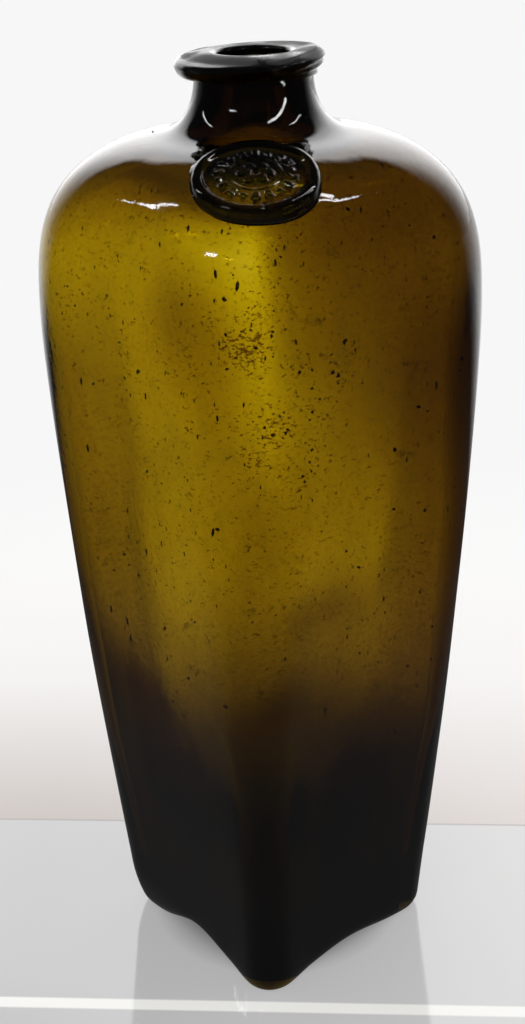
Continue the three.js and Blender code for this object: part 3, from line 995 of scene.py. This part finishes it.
# %% Signals and boards
def sign(operation, reflected=False):
    """The method for one sign. Reflected, the signal stands on the right of it."""
    def method(self, other):
        first, second = (other, self) if reflected else (self, other)
        return self.board.node("ShaderNodeMath", {"operation": operation}, {0: first, 1: second})
    return method


class Signal:
    """One output socket that can be used in a Python sum."""

    def __init__(self, board, socket):
        self.board = board
        self.socket = socket

    __add__, __radd__ = sign("ADD"), sign("ADD", reflected=True)
    __sub__, __rsub__ = sign("SUBTRACT"), sign("SUBTRACT", reflected=True)
    __mul__, __rmul__ = sign("MULTIPLY"), sign("MULTIPLY", reflected=True)
    __truediv__, __rtruediv__ = sign("DIVIDE"), sign("DIVIDE", reflected=True)
    __pow__, __rpow__ = sign("POWER"), sign("POWER", reflected=True)


class Board:
    """A node tree that nodes are added to."""

    def __init__(self, tree):
        self.tree = tree

    def node(self, kind, settings=None, inputs=None, output=0):
        made = self.tree.nodes.new(kind)
        for name, value in (settings or {}).items():
            if name == "stops":
                self.set_stops(made.color_ramp, value)
            else:
                setattr(made, name, value)
        for name, value in (inputs or {}).items():
            if isinstance(value, Signal):
                self.tree.links.new(value.socket, made.inputs[name])
            else:
                made.inputs[name].default_value = value
        return Signal(self, made.outputs[output]) if len(made.outputs) else made

    @staticmethod
    def set_stops(ramp, stops):
        while len(ramp.elements) < len(stops):
            ramp.elements.new(0.5)
        for element, (place, value) in zip(ramp.elements, stops):
            element.position = place
            element.color = (value, value, value, 1)

    def noise(self, vector, size, detail=2.0, roughness=0.5):
        inputs = {"Vector": vector, "Scale": 1 / size, "Detail": detail, "Roughness": roughness}
        return self.node("ShaderNodeTexNoise", {}, inputs)

    def ramp(self, value, stops):
        return self.node("ShaderNodeValToRGB", {"stops": stops}, {0: value})

    def between(self, value, low, high):
        """0 below the low value, 1 above the high one."""
        return self.ramp(value, [(low, 0), (high, 1)])

    def spots(self, vector, size, detail, low, high):
        """Noise of which only the high places are kept."""
        return self.between(self.noise(vector, size, detail), low, high)

    def place(self):
        return self.node("ShaderNodeTexCoord", output="Object")

    def attribute(self, name):
        return self.node("ShaderNodeAttribute", {"attribute_name": name}, output="Fac")

    def vector(self, operation, inputs, output=0):
        return self.node("ShaderNodeVectorMath", {"operation": operation}, inputs, output)

    def along(self, place, direction):
        """How far a place lies in a level direction."""
        level = (direction.x, direction.y, 0)
        return self.vector("DOT_PRODUCT", {0: place, 1: level}, "Value")

    def colour_mix(self, share, first, second):
        settings = {"data_type": "RGBA"}
        return self.node("ShaderNodeMix", settings, {0: share, 6: first, 7: second}, output=2)


def wire_up(owner, output_kind, build, *settings):
    """Fills the node tree of a material or world. Build returns what goes into its output."""
    owner.use_nodes = True
    owner.node_tree.nodes.clear()
    board = Board(owner.node_tree)
    output = board.tree.nodes.new(output_kind)
    for name, signal in build(board, *settings).items():
        board.tree.links.new(signal.socket, output.inputs[name])
    return owner


def new_material(name, build, *settings):
    material = bpy.data.materials.new(name)
    return wire_up(material, "ShaderNodeOutputMaterial", build, *settings)


def ray_kinds(board):
    """1 for rays from the camera, for rays through glass and for mirrored rays."""
    rays = board.node("ShaderNodeLightPath").socket.node
    names = ("Is Camera Ray", "Is Transmission Ray", "Is Glossy Ray")
    camera_ray, through_ray, glossy_ray = [Signal(board, rays.outputs[name]) for name in names]
    return camera_ray, through_ray, glossy_ray * (1 - through_ray) * (1 - camera_ray)


# %% [markdown]
# ## Dark olive glass
#
# Old bottle glass is coloured by iron, so its colour is in its depth. A coloured surface would
# look the same in thick and thin places, so the colour comes from Volume Absorption:
# red passes best, green a little less and blue hardly at all. The surface adds what use
# has left on it: a thin film, faint streaks, tiny pits, specks of soil and wear, and painted
# shade darkens it where the glass looks dark.

# %% Olive glass
GLASS_IOR = 1.5
ABSORBED_PER_METRE = (218, 276, 2200)  # red, green and blue
ABSORBED_BY_LIP = (1300, 1350, 4000)  # the collar and the pad are of darker glass
ABSORBED_BY_PAD = (430, 470, 1700)
DENSITY_MARGIN = 1.02  # keeps the strongest colour just above none
FILM_COLOUR = (0.62, 0.56, 0.46, 1)
CLEAR_COLOUR = (1, 0.905, 0.86, 1)
SPECK_COLOUR = (0.07, 0.02, 0.01, 1)
# painted shade: the near-black tint that the per-point shade value mixes in
PAINTED_SHADE_COLOUR = (0.03, 0.013, 0.001, 1)
GLASS_ROUGHNESS = 0.02
FILM_ROUGHNESS = 0.16
WEAR_ROUGHNESS = 0.6  # the flat top of the collar is rubbed dull
PATCH_SPOTS = (0.03, 4, 0.46, 0.72)  # noise: size in metres, detail, limits
DRAG_SPOTS = (0.004, 3, 0.5, 0.75)
SPECK_NOISE = (0.0012, 8, 0.72)  # size in metres, detail, roughness
SPECK_LIMITS = (0.59, 0.61)
PIT_NOISE = (0.0016, 3)
DENT_NOISE = (0.006, 2)
DENT_SHARE = 1.6  # of the pits' height
DRAG_STRETCH = (1, 1, 0.16)
SPECK_STRETCH = (1, 1, 1.7)
PATCH_SHARE = 0.55  # of the haze, and the drags make up the rest
DRAG_SHARE = 0.45
SOIL_SPECKS = 0.11  # how much denser the specks are in the soil


def olive_glass(board, film_strength, pit_depth, absorbed):
    place = board.place()
    long_place = board.node("ShaderNodeMapping", {}, {0: place, "Scale": DRAG_STRETCH})
    wide_place = board.node("ShaderNodeMapping", {}, {0: place, "Scale": SPECK_STRETCH})
    patches = board.spots(place, *PATCH_SPOTS)
    drags = board.spots(long_place, *DRAG_SPOTS)
    haze = film_strength * (PATCH_SHARE * patches + DRAG_SHARE * drags)
    haze_share = board.node("ShaderNodeClamp", {}, {0: haze})
    colour = board.colour_mix(haze_share, CLEAR_COLOUR, FILM_COLOUR)
    grains = board.noise(wide_place, *SPECK_NOISE) + SOIL_SPECKS * board.attribute("soil")
    specks = board.between(grains, *SPECK_LIMITS) * board.attribute("inner_wall")
    colour = board.colour_mix(specks, colour, SPECK_COLOUR)
    # painted shade: darkens the glass towards near black where the shade value is high
    colour = board.colour_mix(board.attribute("residue"), colour, PAINTED_SHADE_COLOUR)
    pits = board.noise(place, *PIT_NOISE) + DENT_SHARE * board.noise(place, *DENT_NOISE)
    bump = board.node("ShaderNodeBump", {}, {"Height": pits, "Distance": pit_depth})
    roughness = GLASS_ROUGHNESS + FILM_ROUGHNESS * haze_share
    roughness = roughness + WEAR_ROUGHNESS * board.attribute("wear")
    shader = board.node("ShaderNodeBsdfPrincipled", {}, {
        "Base Color": colour, "Roughness": roughness, "Normal": bump,
        "IOR": GLASS_IOR, "Transmission Weight": 1.0,
    })
    density = DENSITY_MARGIN * max(absorbed)
    kept = (*[1 - share / density for share in absorbed], 1)
    volume = board.node("ShaderNodeVolumeAbsorption", {}, {"Color": kept, "Density": density})
    return {"Surface": shader, "Volume": volume}


GLASSES = (  # piece, name of its glass, strength of the film, depth of the pits, absorbed
    (body, "olive_body_glass", 0.5, 0.00002, ABSORBED_PER_METRE),
    (lip, "olive_lip_glass", 0.25, 0.00001, ABSORBED_BY_LIP),
    (seal, "olive_pad_glass", 0.1, 0.000003, ABSORBED_BY_PAD),
)
for piece, name, *settings in GLASSES:
    piece.data.materials.append(new_material(name, olive_glass, *settings))
print("red light left over after", FOOT_EXTRA, "mm:",
      round(math.exp(-FOOT_EXTRA * MM * ABSORBED_PER_METRE[0]), 2))

# %% [markdown]
# ## Soil and seeds
#
# Dry soil still sticks to the inside, in a few clusters that lie behind the front corner.
# Painted shade darkens the inside wall at the foot, on the shoulder top and in the neck, and
# the outer wall along the side corners, in the neck and at the front foot's tip, where the
# glass looks dark. How dark it gets is kept as one value per point of the wall.
#
# The glass itself holds seeds, which are small bubbles drawn out while it was blown.
# Crumbs and seeds repeat hundreds of times, so Geometry Nodes scatter them. A vertex
# attribute says how dense they are, and it is worked out from where the clusters show.

# %% Where the painted shade lies
# painted shade inside the wall, darker towards the foot
PAINTED_SHADE_FULL = 38  # the residue is full up to this height
PAINTED_SHADE_TOP = 98  # and ends at this one
PAINTED_SHADE_POWER = 1.2
PAINTED_SHADE_WAVES = ((7, (26, 26, 60), 31), (3, (8, 8, 14), 32))
PAINTED_SHADE_CORNERS = (  # direction, how much higher it reaches there, width
    (LEFT_CORNER, 34, 0.6),
    (RIGHT_CORNER, 6, 0.6),
    (FRONT_FOOT, 19, 0.5),
    (BACK_CORNER, 6, 0.5),
)
SHOULDER_PAINTED_SHADE = 0.62
SHOULDER_PAINTED_SHADE_HEIGHTS = (215.5, 218.5)
NECK_PAINTED_SHADE = 1.0
NECK_PAINTED_SHADE_HEIGHTS = (226, 233)
# painted shade outside, along the side corners, in the neck and at the front foot's tip
OUTER_PAINTED_SHADES = (  # direction, width, layers of share and the heights of their end
    (LEFT_CORNER, 0.3, ((0.45, 130, 165), (0.5, 95, 125))),
    (RIGHT_CORNER, 0.3, ((0.9, 70, 110),)),
    (FRONT_FOOT, 0.6, ((1.0, 7, 17),)),
)
NECK_OUTER_PAINTED_SHADE = 0.45
NECK_OUTER_PAINTED_SHADE_HEIGHTS = (224, 232)


def outer_painted_shade(points):
    """How much painted shade darkens the outside, for points in millimetres."""
    angle = axis_angle(points)
    z = points[:, 2]
    outer_shade = NECK_OUTER_PAINTED_SHADE * rise(*NECK_OUTER_PAINTED_SHADE_HEIGHTS, z)
    for direction, width, layers in OUTER_PAINTED_SHADES:
        share = sum(most * fall(low, high, z) for most, low, high in layers)
        outer_shade = np.maximum(outer_shade, share * near(angle, direction, width))
    return outer_shade


def painted_shade_share(points):
    """How much painted shade darkens the inside, for points in millimetres."""
    z = points[:, 2] + sum(ripple(points, wave) for wave in PAINTED_SHADE_WAVES)
    angle = axis_angle(points)
    for direction, higher, width in PAINTED_SHADE_CORNERS:
        z = z - higher * near(angle, direction, width)
    foot = fall(PAINTED_SHADE_FULL, PAINTED_SHADE_TOP, z) ** PAINTED_SHADE_POWER
    shoulder = SHOULDER_PAINTED_SHADE * rise(*SHOULDER_PAINTED_SHADE_HEIGHTS, points[:, 2])
    neck = NECK_PAINTED_SHADE * rise(*NECK_PAINTED_SHADE_HEIGHTS, points[:, 2])
    return np.maximum(foot, np.maximum(shoulder, neck))


body_points = mesh_points(body)
first_inner = 1 + outside.shape[0] * RING_POINTS
is_inner = (np.arange(len(body_points)) >= first_inner).astype(float)
residue = painted_shade_share(body_points / MM) * is_inner
residue = residue + outer_painted_shade(body_points / MM) * (1 - is_inner)
print("residue covers over half at", int((residue > 0.5).sum()), "points")

# %% Where the soil lies
SOIL_SPOTS = [  # pixel of the photograph, radius in millimetres, density
    ((247, 352), 5.0, 1.0),
    ((262, 322), 4.0, 0.6),
    ((300, 366), 3.5, 0.55),
    ((350, 372), 6.0, 0.4),
    ((276, 432), 5.0, 0.75),
    ((322, 418), 8.0, 0.3),
    ((262, 468), 5.0, 0.5),
    ((258, 296), 7.0, 0.22),
    ((305, 470), 9.0, 0.25),
    ((190, 330), 12.0, 0.08),
]
SOIL_EVERYWHERE = 0.035
SOIL_SHARPNESS = 0.7
BACK_SOIL = 0.3  # the soil on the back, as a share of that on the front
FRONT_LIMIT = 0.002  # metres behind the axis
SOIL_BEGINS = (0.04, 0.03)  # height in metres, and over how many metres
SOIL_END = 0.226  # there is none in the neck
DENSE_SOIL = 0.1

front_side = (body_points @ np.array(level_view) < FRONT_LIMIT).astype(float)
soil = np.full(len(body_points), SOIL_EVERYWHERE)
for pixel, radius, density in SOIL_SPOTS:
    centre, _ = on_glass(pixel)
    away = np.linalg.norm(body_points - np.array(centre), axis=1) / (radius * MM)
    soil = np.maximum(soil, density * np.exp(-SOIL_SHARPNESS * away ** 2))
soil = soil * is_inner * mix(BACK_SOIL, 1, front_side)
height = body_points[:, 2]
wall = np.clip((height - SOIL_BEGINS[0]) / SOIL_BEGINS[1], 0, 1) * (height < SOIL_END)
add_layer(body, "soil", soil * wall)
add_layer(body, "residue", residue)
add_layer(body, "inner_wall", is_inner * wall)
add_layer(body, "outer_wall", (1 - is_inner) * wall)
print("soil reaches", int((soil > DENSE_SOIL).sum()), "points")

# %% Scatter tree
PLACE_SEED, SIZE_SEED, TURN_SEED = 7, 3, 5
LUMP_GRAIN = 1  # how often the round lump's faces are split
LUMP_NOISE = {"Scale": 1.9, "Detail": 1.0}
SIZE_POWER = 8.0  # most lumps are small and a few are large
LOOSE = (2.6, (0.0, 0.0, 0.0), (6.28, 6.28, 6.28))  # crumpling, least turn, most turn
UPRIGHT = (0.2, (-0.2, -0.2, 0.0), (0.2, 0.2, 6.28))


def scatter_tree(name, attribute, values, lie):
    """A Geometry Nodes tree that scatters small lumps where an attribute is high."""
    tree = bpy.data.node_groups.new(name, "GeometryNodeTree")
    board = Board(tree)
    sockets = {}
    crumpling, least_turn, most_turn = lie
    tree.interface.new_socket("Geometry", in_out="INPUT", socket_type="NodeSocketGeometry")
    for label, value in values.items():
        made = tree.interface.new_socket(label, in_out="INPUT", socket_type="NodeSocketFloat")
        made.default_value = value
        sockets[label] = made.identifier
    tree.interface.new_socket("Geometry", in_out="OUTPUT", socket_type="NodeSocketGeometry")
    group_in = tree.nodes.new("NodeGroupInput")
    asked = {socket.name: Signal(board, socket) for socket in group_in.outputs if socket.name}
    chance = board.node("GeometryNodeInputNamedAttribute", {"data_type": "FLOAT"},
                        {"Name": attribute})
    points = board.node("GeometryNodeDistributePointsOnFaces", {}, {
        "Mesh": asked["Geometry"], "Density": chance * asked["Density"], "Seed": PLACE_SEED,
    })
    normal = Signal(board, points.socket.node.outputs["Normal"])
    inward = board.vector("SCALE", {0: normal, "Scale": 0 - asked["Depth"]})
    placed = board.node("GeometryNodeSetPosition", {}, {"Geometry": points, "Offset": inward})
    lump = board.node("GeometryNodeMeshIcoSphere", {}, {"Radius": 1.0, "Subdivisions": LUMP_GRAIN})
    crumple = board.node("ShaderNodeTexNoise", {}, LUMP_NOISE, output="Color")
    centred = board.vector("SUBTRACT", {0: crumple, 1: (0.5, 0.5, 0.5)})
    uneven = board.vector("SCALE", {0: centred, "Scale": crumpling})
    lump = board.node("GeometryNodeSetPosition", {}, {"Geometry": lump, "Offset": uneven})
    chance_of_size = board.node("FunctionNodeRandomValue", {"data_type": "FLOAT"},
                                {"Min": 0.0, "Max": 1.0, "Seed": SIZE_SEED}, output=1)
    scale = asked["Size"] * (1 + asked["Spread"] * chance_of_size ** SIZE_POWER)
    long_scale = scale * asked["Stretch"]
    scales = board.node("ShaderNodeCombineXYZ", {}, {0: scale, 1: scale, 2: long_scale})
    turn = board.node("FunctionNodeRandomValue", {"data_type": "FLOAT_VECTOR"},
                      {"Min": least_turn, "Max": most_turn, "Seed": TURN_SEED})
    copies = board.node("GeometryNodeInstanceOnPoints", {}, {
        "Points": placed, "Instance": lump, "Rotation": turn, "Scale": scales,
    })
    real = board.node("GeometryNodeRealizeInstances", {}, {0: copies})
    return tree, board, real, sockets


def scattered(name, tree_parts, values, material):
    """Runs a scatter tree on the body and returns the plain mesh that comes out."""
    tree, board, real, sockets = tree_parts
    finished = board.node("GeometryNodeSetMaterial", {}, {"Geometry": real, "Material": material})
    group_out = tree.nodes.new("NodeGroupOutput")
    tree.links.new(finished.socket, group_out.inputs[0])
    modifier = body.modifiers.new(name, "NODES")
    modifier.node_group = tree
    for label, value in values.items():
        modifier[sockets[label]] = value
    shaped = body.evaluated_get(bpy.context.evaluated_depsgraph_get())
    mesh = bpy.data.meshes.new_from_object(shaped)
    body.modifiers.remove(modifier)
    mesh.name = name
    mesh.shade_smooth()
    print(name + ":", len(mesh.polygons), "faces")
    return add_object(name, mesh)


# %% [markdown]
# ## Finishes of soil and seeds
#
# The soil is a dull brown crumb with a paler grain. A seed is a pocket of air in the glass.
# A closed skin with a low index bends the light the way a bubble does, and a brown tint,
# which is painted shade, makes it as dark as the seeds are in the photograph.

# %% Soil and seeds
SOIL_GRAIN = (0.0006, 4, 0.35, 0.7)  # noise: size in metres, detail, limits
SOIL_COLOURS = ((0.03, 0.006, 0.006, 1), (0.09, 0.03, 0.02, 1))
SOIL_ROUGHNESS = 0.9
SOIL_BUMP = 0.0001
SEED_CLOUD = (0.002, 2)  # size and detail only
# painted shade: dark tints that stand in for a bubble's dark look
SEED_PAINTED_SHADE_COLOURS = ((0.01, 0.003, 0.001, 1), (0.05, 0.03, 0.01, 1))
SEED_ROUGHNESS = 0.03
SEED_IOR = 1.25
SOIL_VALUES = {"Density": 7e5, "Depth": 0.0, "Size": 0.00008, "Spread": 6.0, "Stretch": 0.8}
SEED_VALUES = {"Density": 8e3, "Depth": 0.0008, "Size": 0.00021, "Spread": 1.3, "Stretch": 2.8}


def dry_soil(board):
    grain = board.spots(board.place(), *SOIL_GRAIN)
    colour = board.colour_mix(grain, *SOIL_COLOURS)
    bump = board.node("ShaderNodeBump", {}, {"Height": grain, "Distance": SOIL_BUMP})
    shader = board.node("ShaderNodeBsdfPrincipled", {}, {
        "Base Color": colour, "Roughness": SOIL_ROUGHNESS, "Normal": bump,
    })
    return {"Surface": shader}


def air_seed(board):
    colour = board.colour_mix(board.noise(board.place(), *SEED_CLOUD), *SEED_PAINTED_SHADE_COLOURS)
    shader = board.node("ShaderNodeBsdfPrincipled", {}, {
        "Base Color": colour, "Roughness": SEED_ROUGHNESS, "IOR": SEED_IOR,
        "Transmission Weight": 1.0,
    })
    return {"Surface": shader}


soil_parts = scatter_tree("scatter_soil", "soil", SOIL_VALUES, LOOSE)
soil_finish = new_material("dry_soil", dry_soil)
soil_crumbs = scattered("soil_crumbs", soil_parts, SOIL_VALUES, soil_finish)
seed_parts = scatter_tree("scatter_seeds", "outer_wall", SEED_VALUES, UPRIGHT)
seed_finish = new_material("air_seed", air_seed)
seeds = scattered("glass_seeds", seed_parts, SEED_VALUES, seed_finish)

# %% [markdown]
# ## Shelf and background
#
# The bottle stands on a pale glossy shelf, with white paper behind it. One large plane is
# the floor. Its colour changes at the shelf's two edges, and farther from the bottle it turns
# white for the camera and for light that comes through the glass. Painted light makes the shelf
# and the paper brighter towards the right and the paper paler farther back. The floor also
# glows a little by itself, which is painted light that keeps the shadows faint, but not under
# the bottle, where a painted shadow stays.
# Reflections on the bottle see a dim room instead, with a paler shelf round the foot and
# a bright screen straight behind, as in a studio with black cards beside the camera.

# %% Floor
FLOOR_SIZE = 12  # metres
SHELF_BACK = 0.0398  # metres from the bottle's axis, along the view
SHELF_FRONT = -0.047
SHELF_EDGE = 0.0042
LINE_TURN = 0.075  # the shelf is turned a little against the view
# painted light: the right-hand colours are brighter than the left-hand ones
SHELF_LEFT_COLOUR = (0.178, 0.176, 0.178, 1)
SHELF_RIGHT_COLOUR = (0.22, 0.218, 0.218, 1)
SHELF_EDGE_COLOUR = (0.31, 0.308, 0.296, 1)
SHELF_LINE_COLOUR = (0.087, 0.085, 0.083, 1)
PAPER_LEFT_COLOUR = (0.228, 0.209, 0.199, 1)
PAPER_RIGHT_COLOUR = (0.278, 0.258, 0.249, 1)
PAPER_COLOUR = (0.34, 0.336, 0.333, 1)
SHELF_ROUGHNESS = 0.07
PAPER_ROUGHER = 0.6
FLOOR_IOR = 1.6
FLOOR_GLOW = 1.75  # painted light: the shelf glows by itself, so its shadows are faint
FLOOR_WHITE = (0.93, 0.93, 0.93, 1)
ROOM_LEVEL = 0.03
NEAR_ROOM_LEVEL = 0.1  # the lit shelf round the foot, as the glass mirrors it
BACK_SHARPNESS = 300.0  # of a line on the floor, per metre
FRONT_SHARPNESS = 600.0
PAINTED_LIGHT_WIDTH = 0.24  # metres over which painted light turns the left colours into the brighter right ones
PAPER_PAINTED_LIGHT = [(0.0, 0), (0.24, 0.42), (0.46, 0.82), (1, 1)]  # painted light, paler farther back: shares of the next length
PAPER_PAINTED_LIGHT_DEPTH = 0.2
BACK_LINE = [(0.3, 0), (0.5, 0.6), (0.7, 0)]
LINE_EDGE = (0.3, 0.7)
PAINTED_LIGHT_EDGE = (0.2, 0.8)
WHITE_DISTANCE = 0.5  # distances from the bottle's axis, in metres,
WHITE_EDGE = (0.3, 0.75)  # and the shares of them where a change begins and ends
# painted shadow: the glow fades out close round the bottle's foot
PAINTED_SHADOW_DISTANCE = 0.1
PAINTED_SHADOW_STOPS = [(0.24, 0.7), (0.36, 0)]
CLOSE_DISTANCE = 0.3
CLOSE_STOPS = [(0.4, 1), (0.85, 0)]
SCREEN_DISTANCE = 0.6
SCREEN_EDGE = (0.45, 0.9)
STRAIGHT_EDGE = (0.35, 0.75)  # cosines of the turn away from straight behind


def pale_floor(board):
    place = board.place()
    across = board.along(place, level_right)
    depth = board.along(place, level_view) + LINE_TURN * across
    away = board.vector("LENGTH", {0: place}, "Value")

    def past_line(distance, sharpness):
        return board.between(distance * sharpness + 0.5, *LINE_EDGE)

    behind = past_line(depth - SHELF_BACK, BACK_SHARPNESS)
    in_front = past_line(SHELF_FRONT - depth, FRONT_SHARPNESS)
    past_edge = past_line(SHELF_FRONT - SHELF_EDGE - depth, FRONT_SHARPNESS)
    # painted light: brighter towards the right, and the paper paler farther back
    rightward = board.between(across / PAINTED_LIGHT_WIDTH + 0.5, *PAINTED_LIGHT_EDGE)
    paper_painted_light = board.ramp((depth - SHELF_BACK) / PAPER_PAINTED_LIGHT_DEPTH, PAPER_PAINTED_LIGHT)
    paper = board.colour_mix(rightward, PAPER_LEFT_COLOUR, PAPER_RIGHT_COLOUR)
    paper = board.colour_mix(paper_painted_light, paper, PAPER_COLOUR)
    shelf = board.colour_mix(rightward, SHELF_LEFT_COLOUR, SHELF_RIGHT_COLOUR)
    shelf = board.colour_mix(in_front * (1 - past_edge), shelf, SHELF_EDGE_COLOUR)
    colour = board.colour_mix(behind, shelf, paper)
    back_line = board.ramp((depth - SHELF_BACK) * BACK_SHARPNESS + 0.5, BACK_LINE)
    colour = board.colour_mix(back_line, colour, SHELF_LINE_COLOUR)
    # painted shadow: the glow is taken away under the bottle
    painted_shadow = board.ramp(away / PAINTED_SHADOW_DISTANCE, PAINTED_SHADOW_STOPS)
    real_floor = board.node("ShaderNodeBsdfPrincipled", {}, {
        "Base Color": colour, "Roughness": SHELF_ROUGHNESS + PAPER_ROUGHER * behind,
        "IOR": FLOOR_IOR, "Emission Color": board.colour_mix(painted_shadow, colour, (0, 0, 0, 1)),
        "Emission Strength": FLOOR_GLOW,
    })
    white = board.node("ShaderNodeEmission", {}, {"Color": FLOOR_WHITE, "Strength": 1.0})
    whitening = board.between(away / WHITE_DISTANCE, *WHITE_EDGE)
    seen = board.node("ShaderNodeMixShader", {}, {0: whitening, 1: real_floor, 2: white})
    close = board.ramp(away / CLOSE_DISTANCE, CLOSE_STOPS)
    straight = board.between(depth / away, *STRAIGHT_EDGE)
    screen = board.between(depth / SCREEN_DISTANCE, *SCREEN_EDGE) * straight
    level = ROOM_LEVEL + (NEAR_ROOM_LEVEL - ROOM_LEVEL) * close + screen
    room = board.node("ShaderNodeEmission", {}, {"Color": (1, 1, 1, 1), "Strength": level})
    _, _, mirrored = ray_kinds(board)
    return {"Surface": board.node("ShaderNodeMixShader", {}, {0: mirrored, 1: seen, 2: room})}


half_floor = FLOOR_SIZE / 2 / MM
corners = [(-half_floor, -half_floor, 0), (half_floor, -half_floor, 0),
           (half_floor, half_floor, 0), (-half_floor, half_floor, 0)]
floor_finish = new_material("pale_floor", pale_floor)
floor = mesh_object("floor", corners, [(0, 1, 2, 3)], floor_finish)
print("floor:", FLOOR_SIZE, "m square")

# %% [markdown]
# ## Room and backdrop light
#
# The world is the backdrop. It is white for the camera and for rays through the glass.
# Its soft light is level, and reflections see a white screen behind the bottle up to a
# certain height, which draws the bright band over the shoulder, and a dim room elsewhere.

# %% World
SCREEN_SLOPE = 1.06  # height of the screen's top over its distance
SCREEN_TILT = 0.3  # the screen reaches higher on the right
SCREEN_TOP_EDGE = (0.02, 0.17)
SCREEN_DEPTH_EDGE = (0.32, 0.7)
SCREEN_RIGHT_EDGE = (0.45, 1.0)
SCREEN_LEFT_EDGE = (0.3, 0.8)
SIDE_LOSS = 0.9  # share of its light that the screen loses at its sides
SCREEN_LEVEL = 2.4
SOFT_LEVEL = 0.95


def studio_room(board):
    direction = board.node("ShaderNodeTexCoord", output="Generated")
    backward = board.along(direction, level_view)
    sideways = board.along(direction, level_right)
    height = board.node("ShaderNodeSeparateXYZ", {}, {0: direction}, output="Z")
    top_edge = SCREEN_SLOPE * backward + SCREEN_TILT * sideways
    low = board.between(top_edge - height, *SCREEN_TOP_EDGE)
    behind = board.between(backward, *SCREEN_DEPTH_EDGE)
    beside = board.between(sideways, *SCREEN_RIGHT_EDGE)
    beside = beside + board.between(0 - sideways, *SCREEN_LEFT_EDGE)
    screen = low * behind * (1 - SIDE_LOSS * beside)
    reflected = ROOM_LEVEL + (SCREEN_LEVEL - ROOM_LEVEL) * screen
    camera_ray, through_ray, mirrored = ray_kinds(board)
    white = board.node("ShaderNodeMath", {"operation": "MAXIMUM"}, {0: camera_ray, 1: through_ray})
    level = white + (1 - white) * (mirrored * reflected + (1 - mirrored) * SOFT_LEVEL)
    light = board.node("ShaderNodeBackground", {}, {"Color": (1, 1, 1, 1), "Strength": level})
    return {"Surface": light}


scene.world = wire_up(bpy.data.worlds.new("studio"), "ShaderNodeOutputWorld", studio_room)
print("world:", scene.world.name, "with a screen of brightness", SCREEN_LEVEL)

# %% [markdown]
# ## Lamps
#
# Small bright streaks on the shoulder and the neck come from narrow lamps in front of the
# bottle. A lamp's place follows from its glint: the line of sight is mirrored on the glass
# where the photograph shows the glint, and the lamp stands on the mirrored line. The neck's
# lamp stands close to it, so that its light hardly shows elsewhere on the bottle. The camera
# sees no lamp itself.

# %% Glint lamps
GLINT_REACH = 6  # the bend of the glass is measured over so many pixels
GLINTS = [  # name, pixels of its two ends, thickness in pixels, brightness, distance
    ("left_streak", (140, 205), (176, 202), 2.2, 17, 0.9),
    ("right_streak", (316, 200), (352, 198), 2.2, 18, 0.9),
    ("left_fleck", (203, 252), (218, 255), 2.4, 20, 0.9),
    ("neck_streak", (286, 97), (268, 122), 2.2, 18, 0.05),
]


def mirrored_from(pixel, distance):
    point, normal = on_glass(pixel)
    line = sight(pixel)
    return point + (line - 2 * line.dot(normal) * normal) * distance, point


def glint_lamp(name, start, end, thickness, brightness, distance):
    """An area lamp whose mirror image on the glass runs from one pixel to another."""
    first, _ = mirrored_from(start, distance)
    second, _ = mirrored_from(end, distance)
    middle = Vector((start[0] + end[0], start[1] + end[1])) / 2
    across = Vector((end[1] - start[1], start[0] - end[0])).normalized() * GLINT_REACH
    above, point = mirrored_from(middle + across, distance)
    below, _ = mirrored_from(middle - across, distance)
    along = (second - first).normalized()
    tall = (above - below) * thickness / (2 * GLINT_REACH)
    tall = tall - tall.dot(along) * along
    centre = (first + second) / 2
    backward = (centre - point).normalized()
    backward = (backward - backward.dot(along) * along).normalized()
    lamp = bpy.data.lights.new(name, "AREA")
    lamp.shape = "RECTANGLE"
    lamp.size = (second - first).length
    lamp.size_y = tall.length
    lamp.energy = brightness * math.pi * lamp.size * lamp.size_y
    holder = add_object(name, lamp)
    turn = Matrix((along, backward.cross(along), backward)).transposed().to_4x4()
    holder.matrix_world = Matrix.Translation(centre) @ turn
    holder.visible_camera = False
    return lamp


for glint in GLINTS:
    lamp = glint_lamp(*glint)
    print(glint[0] + ":", round(lamp.size, 3), "by", round(lamp.size_y, 3), "m,",
          round(lamp.energy, 2), "W")

# %% [markdown]
# ## Handing over
#
# Each piece rides on the one body of the part and stands for its CAD node, which is hidden.
# The soil and the seeds are in and on the blown glass, and stand for no node of their own.

# %% Bodies and nodes
PIECES = (
    (body, "body_glass", ("glass_body",)),
    (lip, "lip_glass", ("applied_lip",)),
    (seal, "seal_glass", ("shoulder_seal",)),
    (soil_crumbs, "body_glass", ()),
    (seeds, "body_glass", ()),
)
for piece, slot, nodes in PIECES:
    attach(piece, "root")
    if nodes:
        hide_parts(*nodes)
